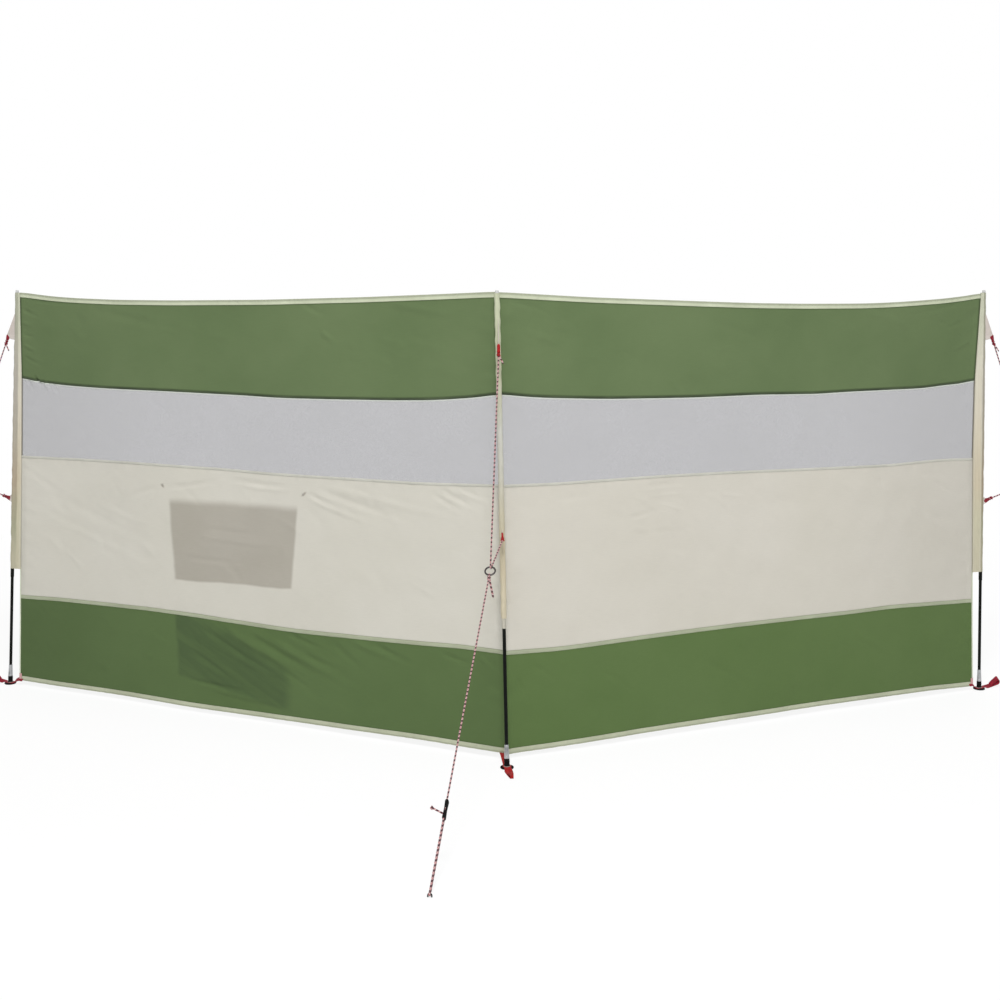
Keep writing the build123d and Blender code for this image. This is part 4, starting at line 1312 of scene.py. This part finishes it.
for pole in POLES:
    ends = [loop_hole(pole, tab) + loop_direction(pole, tab) * knot_offset for tab in (0, 1)]
    apex = saddle(pole)
    toward = [unit(end - apex) for end in ends]
    inner = unit(toward[0] + toward[1])
    bend = 4.2 * mm
    turn = [unit(t - inner * t.dot(inner)) for t in toward]
    saddle_arc = []
    half = math.acos(np.clip(toward[0].dot(inner), -1, 1))
    for angle in np.linspace(math.pi / 2 - half, half - math.pi / 2, 9):
        saddle_arc.append(apex + bend * (-inner * math.cos(angle) + turn[0] * math.sin(angle)))
    path = [ends[0], *np.linspace(ends[0], saddle_arc[0], 24)[1:-1], *saddle_arc]
    path += [*np.linspace(saddle_arc[-1], ends[1], 10)[1:-1], ends[1]]
    parts = [tube(f"{pole}_bridle_cord", path, cord_radius, cord_finish)]
    for tab in (0, 1):
        direction = loop_direction(pole, tab)
        normal = np.cross(tab_outward(pole), UP)
        parts.append(knot(f"{pole}_bridle_knot{tab}", ends[tab], direction, 4.0 * mm, 2.1 * mm, webbing[pole]))
        place = loop_hole(pole, tab) + direction * (rim_centre + 0.6 * mm)
        parts.append(eye(f"{pole}_bridle_eye{tab}", place, direction, normal, eye_radius, 1.12))
        place = ends[tab] - direction * 9.5 * mm
        parts.append(knot(f"{pole}_bridle_hitch{tab}", place, direction, 3.4 * mm, 2.0 * mm, webbing[pole]))
    parts.append(tail(f"{pole}_bridle_tail", ends[0], unit((0.5, -0.3, -0.6)), 26 * mm, 9 * mm, 3 * mm))
    piece = joined(f"{pole}_bridle_braid", parts)
    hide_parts(f"{pole}_bridle")

    circle = arc(ring_centre(pole), ring_radius, 0, 2 * math.pi, 65, pull(pole), sideways(pole))[:-1]
    ring = tube(f"{pole}_steel_ring", circle, ring_wire * 1.35, ring_steel, sides=14, closed=True)
    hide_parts("guy_rings")
print("bridles and rings made")

# %% Stays through their sliders
strand_spacing = 2 * (2 * mm + 2 * mm + 0.2 * mm)
slider_length, slider_position = 52 * mm, 0.748
tail_exit, tail_turn, tail_angle = 12 * mm, 5 * mm, math.radians(67)


def line_axes(pole):
    """Along the stay, level across it, and square to it upwards."""
    along, beside = pull(pole), sideways(pole)
    return along, beside, np.cross(along, beside)


def slider_at(pole):
    """Where the stay leaves its ring, its length, and the upper end of its slider."""
    start = ring_centre(pole) + pull(pole) * ring_radius
    length = float(np.linalg.norm(line_end(pole) - start))
    return start, length, length * slider_position


for pole in POLES:
    along, beside, normal = line_axes(pole)
    start, length, slider_start = slider_at(pole)
    knot_place = start + along * (eye_radius + cord_radius + 1 * mm)
    far = start + along * length
    back = far - normal * strand_spacing
    path = [knot_place, *np.linspace(knot_place, far, 60)[1:-1]]
    path += list(arc((far + back) / 2, strand_spacing / 2, math.pi / 2, -math.pi / 2, 12, along, normal))
    turn_start = start + along * (slider_start + slider_length - tail_exit) - normal * strand_spacing
    path += list(np.linspace(back, turn_start, 26)[1:])
    turn_end = math.pi / 2 + tail_angle
    path += list(arc(turn_start - beside * tail_turn, tail_turn, math.pi / 2, turn_end, 9, along, beside))[1:]
    leave = unit(-math.sin(turn_end) * along + math.cos(turn_end) * beside)
    path += [path[-1] + leave * step for step in np.linspace(2, 38, 10) * mm]
    parts = [tube(f"{pole}_stay_cord", path, cord_radius, cord_finish)]
    parts.append(knot(f"{pole}_stay_knot", knot_place, along, 3.6 * mm))
    parts.append(knot(f"{pole}_stay_hitch", knot_place + along * 8 * mm, along, 2.8 * mm))
    parts.append(knot(f"{pole}_stay_end_knot", path[-1], leave, 3.0 * mm))
    parts.append(eye(f"{pole}_stay_eye", start, along, normal, 4.4 * mm))
    parts.append(tail(f"{pole}_stay_tail", knot_place, unit(beside * 0.22 - UP), 60 * mm, 3 * mm, 3 * mm, 3.2 * mm))
    piece = joined(f"{pole}_stay_braid", parts)
    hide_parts(f"{pole}_guy_line")
print("stays made")

# %% [markdown]
# ## Sliders and pegs
# A slider is a little moulded bar with a bore for each strand, waisted so that fingers can
# grip it. Its section is a rounded box that changes along its length, lofted from ring to
# ring. A peg is a steel wire bent into a hook and pushed home, so only the hook shows.

# %% Sliders
slider_half_height = strand_spacing / 2 + 3.5 * mm
slider_half_width = 4.8 * mm

for pole in POLES:
    along, beside, normal = line_axes(pole)
    start, length, slider_start = slider_at(pole)
    middle = start + along * (slider_start + slider_length / 2) - normal * strand_spacing / 2
    angles = np.linspace(0, 2 * math.pi, 41)
    square = 1 / (np.abs(np.cos(angles)) ** 5 + np.abs(np.sin(angles)) ** 5) ** (1 / 5)
    stations = np.concatenate([[-0.5, -0.5], np.linspace(-0.497, 0.497, 60), [0.5, 0.5]])
    rings = []
    for number, station in enumerate(stations):
        waist = 1 - 0.14 * math.cos(station * math.pi) ** 2
        rib = 0.05 if abs(station) < 0.3 and int((station + 0.5) * 40) % 3 == 0 else 0.0
        end = math.sqrt(max(0.0, 1 - (max(0, abs(station) - 0.44) / 0.062) ** 2)) * 0.25 + 0.75
        closed = 0.0 if number in (0, len(stations) - 1) else 1.0
        size = waist * (1 - rib) * end * closed
        outward = (square * np.cos(angles) * slider_half_width * size)[:, None] * beside
        upward = (square * np.sin(angles) * slider_half_height * size)[:, None] * normal
        rings.append(middle + along * station * slider_length + outward + upward)
    points = np.array(rings).transpose(1, 0, 2)
    cut = paired(stations * slider_length, angles[:, None] * mm)
    body = net_mesh(f"{pole}_slider_body", points, cut, slider_plastic, flip=True)
    rims = []
    for end, strand in ((-1, 1), (1, 1), (1, -1)):
        centre = middle + along * end * slider_length * 0.495 + normal * strand * strand_spacing / 2
        circle = arc(centre, 2.7 * mm, 0, 2 * math.pi, 21, beside, normal)[:-1]
        rims.append(tube(f"{pole}_rim{end}{strand}", circle, 0.8 * mm, slider_plastic, 6, True))
    exit_place = middle + along * (slider_length / 2 - tail_exit - tail_turn)
    exit_place = exit_place - normal * strand_spacing / 2 - beside * 4.4 * mm
    exit_rim = arc(exit_place, 3.4 * mm, 0, 2 * math.pi, 21, along, normal)[:-1]
    rims.append(tube(f"{pole}_exit_rim", exit_rim, 0.8 * mm, slider_plastic, 6, True))
    piece = joined(f"{pole}_slider_moulding", [body, *rims])
    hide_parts(f"{pole}_slider")

# %% Pegs
for pole in POLES:
    _, beside, normal = line_axes(pole)
    top = line_end(pole) - normal * strand_spacing / 2
    hook = arc(top - UP * 5 * mm, 5 * mm, math.pi, 0, 14, beside, UP)
    foot = hook[0] * (1, 1, 0) + UP * 0.2 * mm
    path = [foot, *np.linspace(foot, hook[0], 5)[1:-1], *hook, hook[-1] * (1, 1, 0) + UP * 0.4 * mm]
    peg = tube(f"{pole}_wire_peg", path, 2 * mm, steel_wire, sides=12)
    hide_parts("guy_pegs")
print("sliders and pegs made")

# %% [markdown]
# ## Feet, ferrules, couplings and caps
# These were turned or moulded round, so each is a profile spun about the pole. The solids show
# the plain steps, and the profiles here add the small roundings that catch the light.

# %% Turned parts
# Profiles as radius and height pairs in mm, and how round their corners are
foot_profile = (
    (0.01, 0.4), (19.4, 0.3), (21.3, 1.2), (21.5, 2.6), (20.9, 4.3), (19.0, 5.0), (13.5, 5.3), (10.6, 6.6),
)
collar_profile = (
    (10.4, 5.2), (9.0, 9.0), (8.6, 12.0), (8.5, 19.0), (8.9, 19.6), (8.9, 22.4), (8.5, 23.0), (8.5, 28.8),
    (7.9, 30.0), (6.0, 30.1),
)
ferrule_profile = (
    (6.0, 30.0), (8.2, 30.0), (8.3, 31.0), (8.1, 35.5), (7.7, 36.0), (7.7, 37.5), (7.95, 38.0), (6.7, 66.0),
    (6.9, 67.0), (6.9, 70.0), (6.4, 72.3), (5.6, 72.5),
)
coupling_profile = (
    (5.6, -32), (6.5, -32), (6.6, -31), (6.6, -27), (6.35, -26.4), (6.35, -25.4), (6.6, -24.8), (6.6, -1),
    (6.4, 0), (5.6, 0),
)
cap_profile = ((6.2, -2), (6.2, 1.2), (5.9, 1.6), (5.9, 6.4), (5.0, 8.2), (2.8, 8.9), (0.01, 9.0))


def spun(name, pole, profile, rounding, material, axis=None, up=0, sides=48):
    """A profile in mm spun about the pole, or about an upright, and moved up it."""
    shifted = [(radius, height + up) for radius, height in profile]
    axis = axes[pole] if axis is None else axis
    return turned(f"{pole}_{name}", feet[pole], axis, np.array(soft_edges(shifted, rounding)) * mm, material, sides)


for pole in POLES:
    foot = spun("moulded_foot", pole, foot_profile, 0.9, foot_rubber, UP)
    neck = spun("foot_collar", pole, collar_profile, 0.6, foot_rubber)
    piece = joined(f"{pole}_foot_moulding", [foot, neck])
    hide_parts("pole_feet")
    ferrule = spun("turned_ferrule", pole, ferrule_profile, 0.5, turned_metal)
    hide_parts("pole_ferrules")
    end = (sleeve_bottom[pole] / mm - 0.3) / axes[pole][2]
    shine = pale_metal if pole == "centre" else pole_lacquer
    coupling = spun("turned_coupling", pole, coupling_profile, 0.4, shine, up=end)
    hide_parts("pole_couplings")
    tip = pole_height / mm / axes[pole][2] - cap_profile[-1][1]
    cap = spun("moulded_cap", pole, cap_profile, 0.5, cap_plastic, up=tip, sides=32)
    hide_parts("pole_caps")
    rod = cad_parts[f"{pole}_pole"]
    rod.data.materials.clear()
    rod.data.materials.append(pole_lacquer)
print("turned parts made")

# %% [markdown]
# ## Foot straps
# A red webbing strap is sewn under the hem, lies over the foot with the collar through its
# eyelet, and ends in a folded loop for a ground peg. It is a ribbon with real thickness whose
# middle line steps over the disc, and the eyelet is left open by parting the ribbon there.

# %% Straps over the feet
strap_half, strap_thick = 10 * mm, 1.5 * mm
# In mm: reach from the pole, rise of the outer end, and heights under the hem, over the disc and on the ground
strap_reach = {"left": 92, "centre": 100, "right": 94}
strap_rise = {"left": 12, "centre": 0, "right": 10}
under_hem, over_disc, on_ground, peg_loop = 17.4, 6.05, 1.05, 22
eyelet_radius = 9.5 * mm


def strap_outward(pole):
    return unit((0.15, -0.989, 0.0)) if pole == "centre" else -inward(pole)


def strap_line(pole):
    """The middle line of the strap: distance out from the pole and height, in metres."""
    hem = edge_setback[pole][-1]
    bow = 4.65 if pole == "centre" else 8.0
    bend = strap_reach[pole] - bow
    fold = bend - peg_loop
    corners = (
        (-hem - 18, under_hem), (-hem, under_hem), (-21.5, over_disc), (23, over_disc),
        (33, on_ground), (fold, on_ground), (bend, on_ground),
    )
    line = np.array(soft_edges(corners, 5.0, 6))
    dense = []
    for start, end in zip(line, line[1:]):
        dense += list(np.linspace(start, end, max(2, int(np.linalg.norm(end - start) / 1.6)), endpoint=False))
    angles = np.linspace(0, math.pi, 12)
    around = [(bend + bow * math.sin(a), on_ground + bow * (1 - math.cos(a))) for a in angles]
    back = np.linspace((bend, on_ground + 2 * bow), (fold - 4, 8.6), 12)[1:]
    sewn = np.linspace((fold - 4, 8.6), (fold - 12, 2.9), 6)[1:]
    line = np.array([*dense, *around, *back, *sewn])
    line[:, 1] += strap_rise[pole] * np.clip((line[:, 0] - 34) / (strap_reach[pole] - 34), 0, 1) ** 1.6
    return line * mm


def strap(pole):
    outward = strap_outward(pole)
    beside = np.cross(UP, outward)
    line = strap_line(pole)
    tangent = np.gradient(line, axis=0)
    tangent /= np.linalg.norm(tangent, axis=1)[:, None]
    normal = np.stack([-tangent[:, 1], tangent[:, 0]], axis=-1)
    out = line[:, 0]
    on_foot = np.abs(out) < 40 * mm
    parted = np.sqrt(np.maximum(eyelet_radius ** 2 - out ** 2, 0))
    wide = strap_half + np.where(on_foot, 3.6 * mm * np.exp(-((out / (13 * mm)) ** 2)), 0)
    widths = (1.0, 1.35, 1.1, 0.5) if pole == "centre" else (1.0, 0.9, 0.8, 0.95)
    wide = wide * np.interp(out / mm, (15, 35, 60, 100), widths)
    run = run_along(line)
    halves = []
    upward = {"left": -1, "centre": 0, "right": 1}[pole]
    degrees = np.interp(out / mm, (-60, -24, -17, 21, 34, 70), (48, 40, 0, 0, 26, 40))
    twist = upward * np.radians(degrees)[:, None]
    raised = normal[:, :1] * outward + normal[:, 1:] * UP
    turned_width = beside * np.cos(twist) + UP * np.sin(twist)
    raised = raised * np.cos(twist) - beside * np.sin(twist)
    lift = np.abs(np.sin(twist)) * strap_half * 0.95
    for side in (-1, 1):
        share = np.linspace(0, 1, 6)
        width = side * (parted + (wide - parted) * share[:, None])
        middle = feet[pole] + line[:, :1] * outward + (line[:, 1:] + lift) * UP
        middle = middle[None] + width[..., None] * turned_width
        middle, cut = middle.transpose(1, 0, 2), paired(run[None, :], width).transpose(1, 0, 2)
        half = slab(f"{pole}_strap{side}", middle, raised[:, None, :], strap_thick, cut, webbing[pole])
        halves.append(half)
    return joined(f"{pole}_strap_webbing", halves)


def strap_patch(pole):
    """The pale sewn end of the strap, folded round the corner of the hem."""
    levels = np.linspace(bottom_edge_height + 1 * mm, bottom_edge_height + 26 * mm, 12)
    section = folded_section(11 * mm, 2.0 * mm, 4)
    across, levels = np.broadcast_arrays(1 - section[:, :1] / pole_spacing, levels[None, :])
    points = skin(pole, across, levels, section[:, 1:])
    cut = np.stack([levels, np.broadcast_to(section[:, :1], levels.shape)], axis=-1)
    return net_mesh(f"{pole}_strap_patch", points, cut, patch_cloth, flip=pole == "left")


for pole in ("left", "right"):
    strap_patch(pole)

for pole in POLES:
    piece = strap(pole)
    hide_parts(f"{pole}_foot_strap")
    level = feet[pole] + UP * 7 * mm
    rim = arc(level, eyelet_radius + 0.5 * mm, 0, 2 * math.pi, 41, np.array((1, 0, 0)), np.array((0, 1, 0)))[:-1]
    eyelet = tube(f"{pole}_strap_eyelet", rim, 0.8 * mm, stud_metal, sides=8, closed=True)
print("straps made")

# %% [markdown]
# ## Pocket
# On the sheltered side of the left bay hangs a pocket, sewn on at its sides and bottom and open
# at the top, with a snap tab at each upper corner. Its front is one sheet that leaves the
# cloth along three edges and bellies out between them. It is made from a height field over the
# cloth, so that it always starts on the cloth it is sewn to.

# %% Pocket front and rim
near, far = pocket_start, pocket_end
low, high = pocket_low, pocket_high
pocket_belly = 17 * mm
u = np.linspace(0, 1, 72)[None, :]
v = np.linspace(0, 1, 44)[:, None]
belly = (1 - np.abs(2 * u - 1) ** 5) * (1 - (1 - v) ** 6) * (1 - 0.35 * v ** 3)
run_across, run_up = u * (far - near) * pole_spacing, v * (high - low)
wrinkle = waves(run_across, run_up, 0.09, 81) * 1.1 * mm + waves(run_across, run_up * 0.5, 0.035, 82) * 0.4 * mm
out = 1.5 * mm + belly * (pocket_belly + wrinkle)
fraction, level = np.broadcast_arrays(near + (far - near) * u, low + (high - low) * v)
cut = paired(run_across, run_up)
pocket_cloth = band_cloth("pocket_cloth", srgb(186, 182, 171), srgb(172, 168, 156))
pocket = net_mesh("pocket_cloth_front", skin("left", fraction, level, out), cut, pocket_cloth, flip=True)
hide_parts("pocket")

rim_points = skin("left", fraction[-1], level[-1], out[-1])
rim = tube("pocket_rim", rim_points, 1.6 * mm, binding_tape, sides=8)
edge_tapes = []
for name, line in (
    ("near", (fraction[:, 0], level[:, 0])),
    ("far", (fraction[:, -1], level[:, -1])),
    ("low", (fraction[0], level[0])),
):
    edge_tapes.append(tube(f"pocket_edge_{name}", skin("left", *line, 2.0 * mm), 1.3 * mm, binding_tape, sides=8))
pocket_edges = joined("pocket_edges", edge_tapes)
print("pocket", len(pocket.data.polygons), "faces")

# %% Snap tabs
hanger_level = up_cloth(0.5295)
hangers = []
for corner, sign in ((near, -1), (far, 1)):
    at = corner + sign * 0.012
    start, end = np.array((corner, high - 2 * mm)), np.array((at, hanger_level + 8 * mm))
    steps = np.linspace(0, 1, 16)
    half = 7 * mm / pole_spacing
    strip_across = start[0] + (end[0] - start[0]) * steps[None, :] + np.linspace(-half, half, 7)[:, None]
    strip_up = np.broadcast_to(start[1] + (end[1] - start[1]) * steps[None, :], strip_across.shape)
    middle = skin("left", strip_across, strip_up, 2.8 * mm)
    flat = np.stack([strip_up - high, (strip_across - corner) * pole_spacing], axis=-1)
    hangers.append(slab(f"snap_tab_{sign}", middle, lee_normal("left"), 1.4 * mm, flat, gusset_cloth))
    for face, out_by in ((1, 3.2 * mm), (-1, -1.2 * mm)):
        centre = skin("left", np.array(at), np.array(hanger_level), out_by)
        wide = 1.0 if face > 0 else 0.5
        dome = [(6.6 * wide, 0), (6.6 * wide, 0.7), (5.8 * wide, 1.5), (3.4 * wide, 1.9), (0.01, 2.0)]
        axis = lee_normal("left") * face
        stud = turned(f"snap_{sign}_{face}", centre, axis, np.array(soft_edges(dome, 0.4)) * mm, stud_metal, 32)
snap_tabs = joined("pocket_snap_tabs", hangers)
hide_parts("pocket_hangers")

# %% [markdown]
# ## What is cloth
# The height of each band between its seams and the size of the pocket are worked out here,
# but nothing is made from them. Cloth hardly stretches, so these are the sizes it was cut to.

for bay in BAYS:
    for band, upper, lower, _, _ in band_plan:
        width = seam_heights[upper] - seam_heights[lower]
(far - near) * pole_spacing + 40 * mm
high - low + 20 * mm

# %% [markdown]
# ## Floor
# The floor is plain and pale. To the camera it is mostly its own white, and the rest of it is
# lit, so that the shadow of the windbreak stays. The lit share fades out with the distance, so
# that the floor melts into the background with no horizon.

# %% Floor
floor_half, floor_drop = 60.0, 0.6 * mm
corners = ((-1, -1), (1, -1), (1, 1), (-1, 1))
mesh = bpy.data.meshes.new("floor")
mesh.from_pydata([(x * floor_half, y * floor_half, -floor_drop) for x, y in corners], [], [(0, 1, 2, 3)])
floor = bpy.data.objects.new("floor", mesh)
bpy.context.scene.collection.objects.link(floor)
floor_material = bpy.data.materials.new("floor")
floor_material.use_nodes = True
nodes, links = floor_material.node_tree.nodes, floor_material.node_tree.links
nodes.clear()
floor_out = nodes.new("ShaderNodeOutputMaterial")
lit, glow, blend = (nodes.new(kind) for kind in ("ShaderNodeBsdfDiffuse", "ShaderNodeEmission", "ShaderNodeMixShader"))
lit.inputs["Color"].default_value = (0.95, 0.95, 0.95, 1)
glow.inputs["Strength"].default_value = 1.0
away = nodes.new("ShaderNodeVectorMath")
away.operation = "LENGTH"
links.new(nodes.new("ShaderNodeNewGeometry").outputs["Position"], away.inputs[0])
whiter = nodes.new("ShaderNodeMapRange")
for number, value in enumerate((2.2, 5.0, 0.84, 1.0), start=1):
    whiter.inputs[number].default_value = value
links.new(away.outputs["Value"], whiter.inputs[0])
share = nodes.new("ShaderNodeMath")
share.operation = "MULTIPLY"
links.new(whiter.outputs[0], share.inputs[1])
links.new(seen_rays(nodes, links), share.inputs[0])
links.new(share.outputs[0], blend.inputs[0])
links.new(lit.outputs[0], blend.inputs[1])
links.new(glow.outputs[0], blend.inputs[2])
links.new(blend.outputs[0], floor_out.inputs[0])
mesh.materials.append(floor_material)

# %% [markdown]
# ## Finish
# The picture is looked at through the plain Standard view, where a colour of the finish comes
# out as written.

# %% View transform
bpy.context.scene.view_settings.view_transform = "Standard"
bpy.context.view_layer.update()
